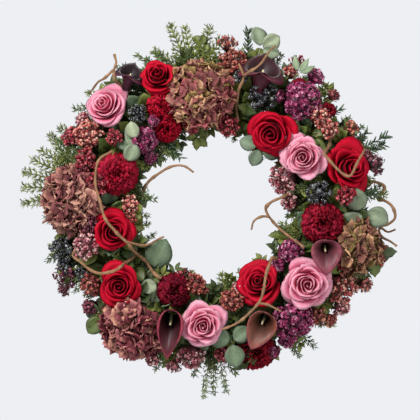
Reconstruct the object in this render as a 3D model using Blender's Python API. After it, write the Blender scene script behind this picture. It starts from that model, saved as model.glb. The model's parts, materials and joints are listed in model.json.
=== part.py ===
"""Harvest door wreath on a wire frame, with a folding wire bail that it hangs by.

Metres, +Z up. The front faces -Y and the door plane lies behind the straps. The origin is the
point inside the top of the bail where a hook bears.

Places on the ring are given as a clock angle in degrees (0 at the top, clockwise from the
front), an offset out from the ring's mean radius, and a level forward of the door plane.
"""

import math

import bmesh
import bpy
import numpy as np
from mathutils import Matrix, Vector

# Wire frame
FRAME_OUTER_D = 0.305
FRAME_WIDTH = 0.030
FRAME_WIRE_D = 0.003
STRAP_COUNT = 4
STRAP_WIDTH = 0.007
STRAP_THICKNESS = 0.0012
STRAP_OVERHANG = 0.001

# Hanging bail and the eyes that it turns in
BAIL_WIRE_D = 0.002
BAIL_WIDTH = 0.018
BAIL_HEIGHT = 0.030
BAIL_FOOT = 0.008
BAIL_LEAN = math.radians(8)
EYE_WIRE_D = 0.0018
PIVOT_CLEARANCE = 0.0005

# Moss ring, its binding wire and the stems planted in it
MOSS_RADIUS = 0.027
MOSS_FLAT = 0.0045
BINDING_WIRE_D = 0.0007
BINDING_TURNS = 14
BINDING_POINTS = 12
STEM_D = 0.0028
STEM_DEPTH = 0.012
TWIG_D = 0.0034
SPRAY_THICKNESS = 0.0035
SPRAY_STEM_LENGTH = 0.014
SPRAY_TIP_WIDTH = 2.4

FIT_GAP = 0.0003
SOCKET_CLEARANCE = 0.0004
BLOOM_GAP = 0.0006
TWIG_CLEARANCE = 0.0018

FRAME_SIDES = 40
HEAD_SIDES = 12

# Worked out from the sizes above
WIRE_R = FRAME_WIRE_D / 2
OUTER_RING_R = FRAME_OUTER_D / 2 - WIRE_R
INNER_RING_R = FRAME_OUTER_D / 2 - FRAME_WIDTH + WIRE_R
MEAN_R = (OUTER_RING_R + INNER_RING_R) / 2
WIRE_LEVEL = STRAP_THICKNESS + FIT_GAP + WIRE_R
MOSS_BACK = WIRE_LEVEL + WIRE_R + FIT_GAP
MOSS_LEVEL = MOSS_BACK + MOSS_RADIUS - MOSS_FLAT
BAIL_R = BAIL_WIRE_D / 2
EYE_MEAN_R = BAIL_R + PIVOT_CLEARANCE + EYE_WIRE_D / 2
EYE_OUTER_R = EYE_MEAN_R + EYE_WIRE_D / 2
EYE_LEVEL = EYE_OUTER_R + PIVOT_CLEARANCE
EYE_X = BAIL_WIDTH / 2 + BAIL_FOOT / 2

# Outlines for a head of radius 1, by the first word of its kind: (height, radius) from the base
# up, each one convex
OUTLINES = {
    "rose": [(-0.62, 0.22), (-0.42, 0.66), (-0.08, 0.95), (0.18, 1.0), (0.42, 0.82), (0.54, 0.5)],
    "carnation": [(-0.6, 0.2), (-0.3, 0.7), (0.1, 1.0), (0.36, 0.9), (0.55, 0.6)],
    "calla": [(-0.75, 0.14), (-0.2, 0.5), (0.3, 0.94), (0.5, 1.0), (0.6, 0.86)],
    "hydrangea": [(-0.42, 0.4), (-0.2, 0.88), (0.06, 1.0), (0.34, 0.82), (0.5, 0.45)],
    "statice": [(-0.6, 0.3), (-0.25, 0.8), (0.1, 1.0), (0.4, 0.8), (0.58, 0.4)],
    "pepper": [(-0.6, 0.35), (-0.25, 0.86), (0.1, 1.0), (0.45, 0.76), (0.62, 0.35)],
    "viburnum": [(-0.6, 0.35), (-0.2, 0.9), (0.15, 1.0), (0.45, 0.74), (0.6, 0.35)],
    "eucalyptus": [(-0.3, 0.5), (-0.1, 0.95), (0.08, 1.0), (0.26, 0.6)],
}

# How much wider than its widest ring a head's enclosing ellipsoid is
ROUND_ALLOWANCE = 1.05

# Each head: clock angle, roll out from straight forward, standing height over the moss, radius
HEADS = {
    "rose_red": [
        (337, 35, 0.027, 0.023), (38, -28, 0.026, 0.031), (74, 36, 0.026, 0.031),
        (256, -16, 0.024, 0.027), (230, 9, 0.025, 0.029), (149, -35, 0.028, 0.030),
    ],
    "rose_pink": [
        (313, 45, 0.029, 0.026), (61, -16, 0.029, 0.029), (129.5, 7, 0.026, 0.030), (185, 4, 0.026, 0.027),
    ],
    "carnation": [
        (289, -20, 0.024, 0.027), (98.5, -7, 0.023, 0.027), (164, 68, 0.025, 0.023),
        (331, -24, 0.016, 0.021), (205, -38, 0.020, 0.019),
    ],
    "calla": [
        (325.5, 54, 0.027, 0.022), (20, 43, 0.026, 0.026), (113, 7, 0.025, 0.024), (200, 15, 0.026, 0.024),
        (158.5, 17, 0.025, 0.024),
    ],
    "hydrangea": [
        (353, -4, 0.020, 0.038), (273, 46, 0.025, 0.036), (214, 53, 0.026, 0.037), (105.5, 56, 0.029, 0.029),
    ],
    "statice": [
        (313.5, -29, 0.018, 0.021), (39, 35, 0.023, 0.029), (145, 38, 0.022, 0.029), (245, 74, 0.036, 0.020),
    ],
    "pepper_berry": [
        (300, 48, 0.021, 0.023), (68, -67, 0.026, 0.022), (8, 54, 0.020, 0.021), (122, 64, 0.026, 0.022),
    ],
    "viburnum": [(24, 9, 0.016, 0.022), (254, 68, 0.029, 0.021)],
    "eucalyptus": [(228, -71, 0.032, 0.019), (92, 49, 0.027, 0.025)],
}

# Each twig: root (clock, roll), then points (clock, offset, lift over whatever lies beneath).
# Branches leave the main run at one of its points.
TWIGS = {
    "willow_twig_1": (
        (324, 100),
        [(322, 0.055, 0.004), (324, 0.064, 0.004), (326, 0.069, 0.005), (327, 0.079, 0.006)],
        [(1, [(320, 0.062, 0.008), (317, 0.067, 0.010), (313, 0.066, 0.012)])],
    ),
    "willow_twig_2": (
        (216, -80),
        [
            (217, -0.030, 0.004), (222, -0.031, 0.004), (231, -0.033, 0.003), (240, -0.028, 0.003),
            (248, -0.026, 0.002), (257, -0.018, 0.002), (264, -0.007, 0.003), (274, -0.002, 0.002),
            (283, 0.007, 0.001), (292, 0.010, 0.001), (299, 0.000, 0.003),
        ],
        [(4, [(242, -0.042, 0.006), (240, -0.058, 0.004), (239, -0.068, 0.006)])],
    ),
    "willow_twig_3": (
        (267, -84),
        [
            (272, -0.047, 0.006), (282, -0.051, 0.010), (295, -0.055, 0.014), (307, -0.062, 0.020),
            (317, -0.070, 0.026), (325, -0.078, 0.028), (330, -0.089, 0.030),
        ],
        [],
    ),
    "willow_twig_4": (
        (238, -62),
        [
            (238, -0.012, 0.003), (237, 0.003, 0.002), (239, 0.016, 0.002), (243, 0.026, 0.002),
            (248, 0.036, 0.003), (251, 0.041, 0.005), (253, 0.034, 0.007),
        ],
        [],
    ),
    "willow_twig_5": (
        (12, -70),
        [
            (16, -0.028, 0.003), (13, -0.012, 0.003), (12, 0.006, 0.003), (13, 0.022, 0.003),
            (10, 0.036, 0.004),
        ],
        [(3, [(17, 0.034, 0.006), (19, 0.052, 0.008), (21, 0.066, 0.010)])],
    ),
    "willow_twig_6": (
        (59, 68),
        [
            (65, 0.008, 0.003), (71, 0.013, 0.002), (76, 0.022, 0.002), (77, 0.030, 0.003),
            (72, 0.044, 0.004), (69, 0.055, 0.006),
        ],
        [],
    ),
    "willow_twig_7": (
        (87, 98),
        [
            (81, 0.060, 0.003), (83, 0.071, 0.003), (87, 0.063, 0.005), (88, 0.071, 0.004),
            (90, 0.080, 0.004), (93, 0.083, 0.005), (95, 0.077, 0.005), (97, 0.066, 0.006),
            (100, 0.070, 0.006), (101, 0.081, 0.007), (102, 0.090, 0.008),
        ],
        [(7, [(98, 0.076, 0.010), (97, 0.085, 0.012)])],
    ),
    "willow_twig_8": (
        (80, -84),
        [
            (81, -0.054, 0.006), (84, -0.066, 0.010), (91, -0.073, 0.014), (100, -0.069, 0.018),
            (107, -0.058, 0.012), (111, -0.040, 0.006), (114, -0.020, 0.002),
        ],
        [(3, [(102, -0.078, 0.018), (109, -0.085, 0.020), (121, -0.084, 0.022)])],
    ),
    "willow_twig_9": (
        (126, -84),
        [
            (132, -0.046, 0.006), (141, -0.037, 0.003), (148, -0.024, 0.002), (155, -0.012, 0.002),
            (163, -0.003, 0.002), (169, 0.003, 0.002), (176, 0.008, 0.004),
        ],
        [(3, [(151, -0.004, 0.004), (147, 0.010, 0.005)])],
    ),
}

# Each spray: root (clock, roll), then its tips (clock, offset)
SPRAYS = {
    "conifer_spray_1": ((279, 96), [(267, 0.062), (271, 0.095), (280.5, 0.102), (288, 0.085), (294, 0.082)]),
    "conifer_spray_2": ((-8, 96), [(-20, 0.066), (-12, 0.094), (-3, 0.086), (2, 0.068)]),
    "conifer_spray_3": ((180, 98), [(172, 0.060), (177, 0.090), (182, 0.098), (186, 0.070)]),
    "conifer_spray_4": ((71, 94), [(64, 0.072), (67.5, 0.092), (72, 0.080), (77, 0.068)]),
}

COLOURS = {
    "frame": ((0.10, 0.20, 0.12), 0.45, 0.6),
    "bail": ((0.42, 0.42, 0.42), 0.35, 1.0),
    "moss": ((0.20, 0.22, 0.08), 0.95, 0.0),
    "rose_red": ((0.48, 0.01, 0.03), 0.6, 0.0),
    "rose_pink": ((0.70, 0.22, 0.30), 0.6, 0.0),
    "carnation": ((0.40, 0.01, 0.03), 0.7, 0.0),
    "calla": ((0.16, 0.03, 0.04), 0.4, 0.0),
    "hydrangea": ((0.42, 0.26, 0.24), 0.8, 0.0),
    "statice": ((0.26, 0.05, 0.22), 0.8, 0.0),
    "pepper_berry": ((0.55, 0.12, 0.09), 0.6, 0.0),
    "viburnum": ((0.03, 0.04, 0.08), 0.25, 0.0),
    "eucalyptus": ((0.24, 0.32, 0.20), 0.6, 0.0),
    "willow_twig": ((0.28, 0.16, 0.09), 0.75, 0.0),
    "conifer_spray": ((0.20, 0.28, 0.10), 0.7, 0.0),
}


def clear_scene():
    for obj in list(bpy.data.objects):
        bpy.data.objects.remove(obj, do_unlink=True)


def new_collection(name):
    made = bpy.data.collections.new(name)
    bpy.context.scene.collection.children.link(made)
    return made


def material(name, kind):
    colour, roughness, metallic = COLOURS[kind]
    made = bpy.data.materials.new(name)
    made.use_nodes = True
    shader = made.node_tree.nodes["Principled BSDF"]
    shader.inputs["Base Color"].default_value = (*colour, 1)
    shader.inputs["Roughness"].default_value = roughness
    shader.inputs["Metallic"].default_value = metallic
    made.diffuse_color = (*colour, 1)
    return made


def add_object(name, data, collection, parent, kind=None):
    obj = bpy.data.objects.new(name, data)
    collection.objects.link(obj)
    obj.parent = parent
    if kind:
        data.materials.append(material(name, kind))
    return obj


def add_empty(name, place, collection, parent=None):
    empty = add_object(name, None, collection, parent)
    empty.location = place
    empty.empty_display_size = 0.01
    return empty


def mesh_from(bm, name, smooth=True):
    mesh = bpy.data.meshes.new(name)
    bm.to_mesh(mesh)
    bm.free()
    if smooth:
        mesh.shade_smooth()
        mesh.set_sharp_from_angle(angle=math.radians(40))
    return mesh


def outward(clock):
    a = math.radians(clock)
    return np.array([math.sin(a), 0.0, math.cos(a)])


FORWARD = np.array([0.0, -1.0, 0.0])


def tube_centre(clock):
    return MEAN_R * outward(clock) + MOSS_LEVEL * FORWARD


def head_axis(clock, roll):
    a = math.radians(roll)
    return math.cos(a) * FORWARD + math.sin(a) * outward(clock)


def at(clock, offset, level):
    return (MEAN_R + offset) * outward(clock) + level * FORWARD


def turned_to(axis, place):
    """A matrix that stands +Z along an axis, at a place."""
    turn = Vector(axis).to_track_quat("Z", "Y").to_matrix().to_4x4()
    return Matrix.Translation(Vector(place)) @ turn


def torus_mesh(name, mean_r, wire_r, around, about):
    """A wire ring in the XZ plane: a circle of wire spun about Y."""
    bm = bmesh.new()
    bmesh.ops.create_circle(bm, segments=about, radius=wire_r, matrix=Matrix.Translation((mean_r, 0, 0)))
    spin_closed(bm, (0, 1, 0), around)
    return mesh_from(bm, name)


def spin_closed(bm, axis, steps):
    bmesh.ops.spin(
        bm, geom=bm.verts[:] + bm.edges[:], cent=(0, 0, 0), axis=axis,
        angle=2 * math.pi, steps=steps, use_merge=True,
    )
    bmesh.ops.remove_doubles(bm, verts=bm.verts[:], dist=1e-6)
    bmesh.ops.recalc_face_normals(bm, faces=bm.faces[:])


def moss_mesh():
    """The moss tube, pressed flat where it lies against the wires."""
    bm = bmesh.new()
    bmesh.ops.create_circle(bm, segments=14, radius=MOSS_RADIUS)
    for vert in bm.verts:
        level = max(vert.co.y, MOSS_FLAT - MOSS_RADIUS)
        vert.co = (MEAN_R + vert.co.x, -MOSS_LEVEL - level, 0)
    spin_closed(bm, (0, 1, 0), FRAME_SIDES)
    return mesh_from(bm, "moss_ring")


def head_points(outline, radius):
    bm = bmesh.new()
    previous = None
    for height, share in outline:
        vert = bm.verts.new((share * radius, 0, height * radius))
        if previous:
            bm.edges.new((previous, vert))
        previous = vert
    bmesh.ops.spin(
        bm, geom=bm.verts[:] + bm.edges[:], cent=(0, 0, 0), axis=(0, 0, 1),
        angle=2 * math.pi, steps=HEAD_SIDES, use_merge=True,
    )
    return bm


def cut_by(bm, place, away):
    """Removes what lies beyond a plane; the hull closes the shape afterwards."""
    bmesh.ops.bisect_plane(
        bm, geom=bm.verts[:] + bm.edges[:] + bm.faces[:], dist=1e-7,
        plane_co=Vector(place), plane_no=Vector(away), clear_outer=True,
    )


def hull_of(bm):
    points = [vert.co.copy() for vert in bm.verts]
    bm.clear()
    for point in points:
        bm.verts.new(point)
    bmesh.ops.remove_doubles(bm, verts=bm.verts[:], dist=2e-5)
    made = bmesh.ops.convex_hull(bm, input=bm.verts[:], use_existing_faces=False)
    loose = {v for v in made["geom_interior"] + made["geom_unused"] if isinstance(v, bmesh.types.BMVert)}
    bmesh.ops.delete(bm, geom=list(loose), context="VERTS")
    bmesh.ops.dissolve_limit(bm, angle_limit=math.radians(0.5), verts=bm.verts[:], edges=bm.edges[:])
    bmesh.ops.recalc_face_normals(bm, faces=bm.faces[:])


def rod_mesh(name, start, end, radius, sides=8):
    start, end = Vector(start), Vector(end)
    bm = bmesh.new()
    bmesh.ops.create_cone(
        bm, cap_ends=True, segments=sides, radius1=radius, radius2=radius, depth=(end - start).length,
        matrix=turned_to(end - start, (start + end) / 2),
    )
    return mesh_from(bm, name)


def wire_curve(name, points, radius, round_steps=2):
    curve = bpy.data.curves.new(name, "CURVE")
    curve.dimensions = "3D"
    curve.bevel_depth = radius
    curve.bevel_resolution = round_steps
    curve.use_fill_caps = True
    spline = curve.splines.new("POLY")
    spline.points.add(len(points) - 1)
    for point, place in zip(spline.points, points):
        point.co = (*place, 1)
    return curve


def mesh_of_curve(obj):
    """Swaps a curve object for its mesh, with the caps welded on."""
    bpy.context.view_layer.update()
    graph = bpy.context.evaluated_depsgraph_get()
    mesh = bpy.data.meshes.new_from_object(obj.evaluated_get(graph))
    bm = bmesh.new()
    bm.from_mesh(mesh)
    bmesh.ops.remove_doubles(bm, verts=bm.verts[:], dist=1e-6)
    bmesh.ops.recalc_face_normals(bm, faces=bm.faces[:])
    bm.to_mesh(mesh)
    bm.free()
    mesh.shade_smooth()
    name, collection, parent, place = obj.name, obj.users_collection[0], obj.parent, obj.matrix_world.copy()
    bpy.data.objects.remove(obj)
    made = add_object(name, mesh, collection, parent)
    made.matrix_world = place
    return made


def joined(obj, other):
    """Joins a helper to an object with a Boolean."""
    other.hide_render = True
    other.display_type = "WIRE"
    union = obj.modifiers.new(other.name, "BOOLEAN")
    union.operation = "UNION"
    union.object = other


def add_frame(parts, centre):
    level = WIRE_LEVEL * FORWARD
    for name, mean_r in (("frame_outer_ring", OUTER_RING_R), ("frame_inner_ring", INNER_RING_R)):
        ring = add_object(name, torus_mesh(name, mean_r, WIRE_R, FRAME_SIDES, 6), parts, centre, "frame")
        ring.location = level
    for i in range(STRAP_COUNT):
        add_strap(f"frame_strap_{i + 1}", 360 * (i + 0.5) / STRAP_COUNT, parts, centre)


def add_strap(name, clock, parts, centre):
    length = FRAME_WIDTH + 2 * STRAP_OVERHANG
    bm = bmesh.new()
    bmesh.ops.create_cube(bm, size=1, matrix=Matrix.Diagonal((STRAP_WIDTH, STRAP_THICKNESS, length, 1)))
    upright = [e for e in bm.edges if abs((e.verts[0].co - e.verts[1].co).normalized().y) > 0.9]
    bmesh.ops.bevel(bm, geom=upright, offset=STRAP_WIDTH / 4, segments=2, affect="EDGES", profile=0.5)
    strap = add_object(name, mesh_from(bm, name, smooth=False), parts, centre, "frame")
    strap.rotation_euler = (0, math.radians(clock), 0)
    strap.location = at(clock, 0, STRAP_THICKNESS / 2)


def eye_place(side):
    """Just outside the outer ring, a fit gap from its wire, and clear of the door."""
    reach = EYE_OUTER_R + FIT_GAP + WIRE_R
    rise = math.sqrt(reach**2 - (EYE_LEVEL - WIRE_LEVEL) ** 2)
    height = math.sqrt(OUTER_RING_R**2 - EYE_X**2) + rise
    return np.array([side * EYE_X, -EYE_LEVEL, height])


def add_eyes(parts, centre):
    for name, side in (("hanger_eye_left", -1), ("hanger_eye_right", 1)):
        eye = add_object(name, torus_mesh(name, EYE_MEAN_R, EYE_WIRE_D / 2, 12, 6), parts, centre, "bail")
        eye.rotation_euler = (0, 0, math.radians(90))
        eye.location = eye_place(side)


def bail_points():
    """The bail's wire: a foot, a leg and half the rounded top on each side."""
    leg_x, bend = BAIL_WIDTH / 2, 2.2 * BAIL_WIRE_D
    points = [(leg_x + BAIL_FOOT, 0, 0)]
    for i in range(4):
        a = math.radians(30 * i)
        points.append((leg_x + bend - bend * math.sin(a), 0, bend - bend * math.cos(a)))
    for i in range(6):
        a = math.radians(18 * i)
        points.append((leg_x * math.cos(a), 0, BAIL_HEIGHT - leg_x + leg_x * math.sin(a)))
    return points + [(-x, y, z) for x, y, z in reversed(points[:-1])]


def add_bail(parts, centre):
    pivot = add_empty("bail_pivot", eye_place(1) * np.array([0, 1, 1]), parts, centre)
    pivot.rotation_euler = (BAIL_LEAN, 0, 0)
    curve = wire_curve("hanger_bail", bail_points(), BAIL_R)
    add_object("hanger_bail", curve, parts, pivot, "bail")


def hook_point():
    """Inside the top of the bail, where a hook bears."""
    pivot = eye_place(0)
    reach = BAIL_HEIGHT - BAIL_R
    return pivot + reach * (math.cos(BAIL_LEAN) * np.array([0, 0, 1]) + math.sin(BAIL_LEAN) * FORWARD)


class Stem:
    """A straight stem planted in the moss: where it starts, where it ends and how thick it is."""

    def __init__(self, start, end, radius):
        self.start, self.end, self.radius = start, end, radius

    def nearest(self, place):
        run = self.end - self.start
        share = np.clip(np.dot(place - self.start, run) / np.dot(run, run), 0, 1)
        return self.start + share * run


class Head:
    """A flower, berry or leaf cluster on its own stem."""

    def __init__(self, kind, clock, roll, stand, radius):
        self.kind, self.radius = kind, radius
        self.outline = OUTLINES[kind.split("_")[0]]
        self.axis = head_axis(clock, roll)
        base = tube_centre(clock)
        self.place = base + (MOSS_RADIUS + stand) * self.axis
        self.stem = Stem(base + (MOSS_RADIUS - STEM_DEPTH) * self.axis, self.place, STEM_D / 2)
        self.wide = ROUND_ALLOWANCE * radius
        self.high = radius * math.sqrt(max(h**2 / (1 - (r / ROUND_ALLOWANCE) ** 2) for h, r in self.outline))

    def level_over(self, x, z, margin):
        """How far forward a line through (x, z) leaves the ellipsoid round this head, or 0 if it misses.

        The ellipsoid is wide across the head's axis and high along it, each with the margin."""
        squash = np.outer(self.axis, self.axis)
        form = (np.eye(3) - squash) / (self.wide + margin) ** 2 + squash / (self.high + margin) ** 2
        start = np.array([x, 0.0, z]) - self.place
        a, b, c = FORWARD @ form @ FORWARD, FORWARD @ form @ start, start @ form @ start - 1
        inside = b**2 - a * c
        return (math.sqrt(inside) - b) / a if inside > 0 else 0.0


def all_heads():
    heads = {}
    for kind, rows in HEADS.items():
        for i, row in enumerate(rows):
            heads[f"{kind}_{i + 1}"] = Head(kind, *row)
    return heads


def moss_front(x, z):
    off = math.hypot(x, z) - MEAN_R
    return MOSS_LEVEL + math.sqrt(max(MOSS_RADIUS**2 - off**2, 0)) if abs(off) < MOSS_RADIUS else MOSS_LEVEL


def smooth_path(points, step):
    """A Catmull-Rom curve through the points, read about every step."""
    knots = np.array([2 * points[0] - points[1], *points, 2 * points[-1] - points[-2]])
    path = [knots[1:2]]
    for a, b, c, d in zip(knots[:-3], knots[1:-2], knots[2:-1], knots[3:]):
        count = max(2, round(float(np.linalg.norm(c - b)) / step))
        t = np.arange(1, count + 1)[:, None] / count
        bend = (2 * a - 5 * b + 4 * c - d) * t**2 + (3 * b - a - 3 * c + d) * t**3
        path.append(b + 0.5 * ((c - a) * t + bend))
    return np.vstack(path)


def laid_over(points, heads):
    """Twig points (clock, offset, lift) as places that clear every head and the moss."""
    plan = np.array([at(clock, offset, 0) for clock, offset, _ in points])
    path = smooth_path(np.column_stack([plan[:, 0], [p[2] for p in points], plan[:, 2]]), 0.007)
    margin = TWIG_D / 2 + TWIG_CLEARANCE
    levels = []
    for x, lift, z in path:
        beneath = [head.level_over(x, z, margin) for head in heads] + [moss_front(x, z) + margin]
        levels.append(max(beneath) + lift)
    return np.column_stack([path[:, 0], -softened(levels), path[:, 2]])


def softened(levels):
    """Each level is the mean of the highest near it, so the run bends gently and never dips into a head."""
    wide = np.pad(levels, 2, mode="edge")
    high = np.max([wide[i : i + len(levels)] for i in range(5)], axis=0)
    near = np.pad(high, 2, mode="edge")
    return np.mean([near[i : i + len(levels)] for i in range(5)], axis=0)


class Twig:
    """A planted willow twig: its stem out of the moss, its main run and its branches."""

    def __init__(self, root, run, branches, heads):
        clock, roll = root
        axis, base = head_axis(clock, roll), tube_centre(clock)
        self.run = laid_over(run, heads)
        start = base + (MOSS_RADIUS - STEM_DEPTH) * axis
        neck = base + (MOSS_RADIUS + 2 * TWIG_D) * axis
        self.stem = Stem(start, neck, TWIG_D / 2)
        self.rise = Stem(neck, self.run[0], TWIG_D / 2)
        self.branches = []
        for index, points in branches:
            laid = laid_over([run[index], *points], heads)
            apart = np.linalg.norm((self.run - laid[0])[:, [0, 2]], axis=1)
            self.branches.append(np.vstack([self.run[apart.argmin()], laid[1:]]))


def cut_between_heads(bm, head, others):
    for other in others:
        gap = other.place - head.place
        apart = float(np.linalg.norm(gap))
        if apart >= head.radius + other.radius + BLOOM_GAP:
            continue
        share = (apart**2 + head.radius**2 - other.radius**2) / (2 * apart)
        cut_by(bm, head.place + (share - BLOOM_GAP / 2) * gap / apart, gap)


def cut_round_stems(bm, head, stems):
    for stem in stems:
        near = stem.nearest(head.place) - head.place
        apart = float(np.linalg.norm(near))
        if apart < head.radius + stem.radius + BLOOM_GAP:
            cut_by(bm, head.place + (apart - stem.radius - BLOOM_GAP) * near / apart, near)


def cut_off_moss(bm, head, base):
    """Keeps the head clear of the moss with a plane just above it."""
    low = base + (MOSS_RADIUS + BINDING_WIRE_D * 2 + BLOOM_GAP) * head.axis
    cut_by(bm, low, -head.axis)


def add_head(name, head, heads, stems, parts, helpers, centre):
    bm = head_points(head.outline, head.radius)
    bm.transform(turned_to(head.axis, head.place))
    cut_between_heads(bm, head, [other for other in heads.values() if other is not head])
    cut_round_stems(bm, head, [stem for stem in stems if stem is not head.stem])
    cut_off_moss(bm, head, head.stem.start - (MOSS_RADIUS - STEM_DEPTH) * head.axis)
    hull_of(bm)
    obj = add_object(name, mesh_from(bm, name), parts, centre, head.kind)
    stem = rod_mesh(name + "_stem", head.stem.start, head.stem.end, head.stem.radius)
    joined(obj, add_object(name + "_stem", stem, helpers, centre))


def add_twig(name, twig, parts, helpers, centre):
    path = np.vstack([twig.stem.start, twig.stem.end, twig.run])
    main = add_object(name, wire_curve(name, path, TWIG_D / 2, 1), parts, centre, "willow_twig")
    main = mesh_of_curve(main)
    for i, branch in enumerate(twig.branches):
        part = f"{name}_branch_{i + 1}"
        curve = wire_curve(part, branch, 0.4 * TWIG_D, 1)
        joined(main, mesh_of_curve(add_object(part, curve, helpers, centre)))


def spray_outline(tips, clock):
    """A fan: from the moss out to each tip, and part of the way back between two of them."""
    foot, half = MOSS_RADIUS + 0.003, SPRAY_TIP_WIDTH / 2
    points = [(clock - 3, foot)]
    for i, (tip_clock, tip_offset) in enumerate(tips):
        points += [(tip_clock - half, tip_offset - 0.004), (tip_clock, tip_offset)]
        points += [(tip_clock + half, tip_offset - 0.004)]
        if i + 1 < len(tips):
            next_clock, next_offset = tips[i + 1]
            points.append(((tip_clock + next_clock) / 2, 0.72 * min(tip_offset, next_offset)))
    return points + [(clock + 3, foot)]


def outline_curve(name, outline, thickness):
    """A flat outline in the XZ plane, as a filled 2D curve."""
    curve = bpy.data.curves.new(name, "CURVE")
    curve.dimensions = "2D"
    curve.fill_mode = "BOTH"
    curve.extrude = thickness / 2
    spline = curve.splines.new("POLY")
    spline.points.add(len(outline) - 1)
    spline.use_cyclic_u = True
    for point, place in zip(spline.points, outline):
        point.co = (place[0], place[2], 0, 1)
    return curve


def add_spray(name, root, tips, parts, helpers, centre):
    """A fan of foliage on its stem; the stem is given back for its socket."""
    clock, roll = root
    axis, base = head_axis(clock, roll), tube_centre(clock)
    stem = Stem(
        base + (MOSS_RADIUS - STEM_DEPTH) * axis, base + (MOSS_RADIUS + SPRAY_STEM_LENGTH) * axis, STEM_D / 2
    )
    outline = [at(*point, 0) for point in spray_outline(tips, clock)]
    flat = add_object(name, outline_curve(name, outline, SPRAY_THICKNESS), parts, centre, "conifer_spray")
    flat.rotation_euler = (math.radians(90), 0, 0)
    flat.location = (0, stem.end[1], 0)
    rod = rod_mesh(name + "_stem", stem.start, stem.end, stem.radius)
    joined(mesh_of_curve(flat), add_object(name + "_stem", rod, helpers, centre))
    return stem


def add_moss(stems, parts, helpers, centre):
    """The moss ring, with a socket round every planted stem."""
    moss = add_object("moss_ring", moss_mesh(), parts, centre, "moss")
    bm = bmesh.new()
    for stem in stems:
        run = (stem.end - stem.start) / np.linalg.norm(stem.end - stem.start)
        floor = stem.start - SOCKET_CLEARANCE * run
        mouth = stem.start + (STEM_DEPTH + 0.004) * run
        radius = stem.radius + SOCKET_CLEARANCE
        bmesh.ops.create_cone(
            bm, cap_ends=True, segments=8, radius1=radius, radius2=radius,
            depth=float(np.linalg.norm(mouth - floor)), matrix=turned_to(run, (floor + mouth) / 2),
        )
    sockets = add_object("stem_sockets", mesh_from(bm, "stem_sockets"), helpers, centre)
    sockets.hide_render = True
    sockets.display_type = "WIRE"
    cut = moss.modifiers.new("sockets", "BOOLEAN")
    cut.operation = "DIFFERENCE"
    cut.use_self = True
    cut.object = sockets


def loop_shape(count):
    """One turn of the binding wire round the tube, from behind one wire ring to behind the other.

    Gives the roll and the reach of each point: a corner just outside each ring, and between
    them an arc whose chords clear the moss."""
    wire_r = BINDING_WIRE_D / 2
    side = OUTER_RING_R - MEAN_R + WIRE_R + FIT_GAP + wire_r
    back = MOSS_LEVEL - wire_r - FIT_GAP
    corner = math.pi - math.atan2(side, back)
    roll = np.linspace(-corner, corner, count)
    step = roll[1] - roll[0]
    reach = np.full(count, (MOSS_RADIUS + wire_r + FIT_GAP) / math.cos(step / 2))
    reach[[0, -1]] = math.hypot(side, back)
    return roll, reach


def wind(clocks):
    """The binding wire: one loop round the moss and the frame at each clock angle."""
    roll, reach = loop_shape(BINDING_POINTS)
    turn = np.arange(len(clocks))[:, None] + roll / (2 * math.pi)
    clock = np.interp(turn, np.arange(len(clocks)), clocks)
    offset = reach * np.sin(roll)
    level = MOSS_LEVEL + reach * np.cos(roll)
    r, a = MEAN_R + offset, np.radians(clock)
    return np.stack([r * np.sin(a), -np.broadcast_to(level, a.shape), r * np.cos(a)], axis=-1).reshape(-1, 3)


def winding_room(clocks, index, obstacles):
    """The least room from the loops next to one clock angle to any stem or strap."""
    starts, runs, radii = obstacles
    low, high = max(index - 1, 0), min(index + 2, len(clocks))
    path = smooth_line(wind(clocks)[low * BINDING_POINTS : high * BINDING_POINTS], 6)
    share = np.einsum("psk,sk->ps", path[:, None] - starts, runs) / np.einsum("sk,sk->s", runs, runs)
    near = starts + np.clip(share, 0, 1)[..., None] * runs
    return float((np.linalg.norm(path[:, None] - near, axis=2) - radii).min())


def smooth_line(points, parts):
    """The straight runs between points, each divided into equal parts."""
    share = np.arange(parts)[:, None, None] / parts
    return ((1 - share) * points[:-1] + share * points[1:]).reshape(-1, 3)


def winding_clocks(obstacles):
    """Where each turn crosses the front: evenly spaced, then moved to miss the stems and straps."""
    pitch = 360 / (BINDING_TURNS + 1)
    clocks = pitch * (np.arange(BINDING_TURNS) + 1.0)
    for _ in range(3):
        for i in range(BINDING_TURNS):
            tries = []
            for shift in np.linspace(-0.3, 0.3, 25) * pitch:
                moved = clocks.copy()
                moved[i] = pitch * (i + 1) + shift
                tries.append((winding_room(moved, i, obstacles), -abs(shift), moved[i]))
            clocks[i] = max(tries)[2]
    return clocks


def add_binding(stems, parts, centre):
    straps = [360 * (i + 0.5) / STRAP_COUNT for i in range(STRAP_COUNT)]
    half = (OUTER_RING_R - INNER_RING_R) / 2
    starts = [stem.start for stem in stems] + [at(clock, -half, STRAP_THICKNESS / 2) for clock in straps]
    ends = [stem.end for stem in stems] + [at(clock, half, STRAP_THICKNESS / 2) for clock in straps]
    radii = [stem.radius for stem in stems] + [STRAP_WIDTH / 2 for _ in straps]
    obstacles = (np.array(starts), np.array(ends) - np.array(starts), np.array(radii))
    curve = wire_curve("binding_wire", wind(winding_clocks(obstacles)), BINDING_WIRE_D / 2, 1)
    add_object("binding_wire", curve, parts, centre, "bail")


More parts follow.
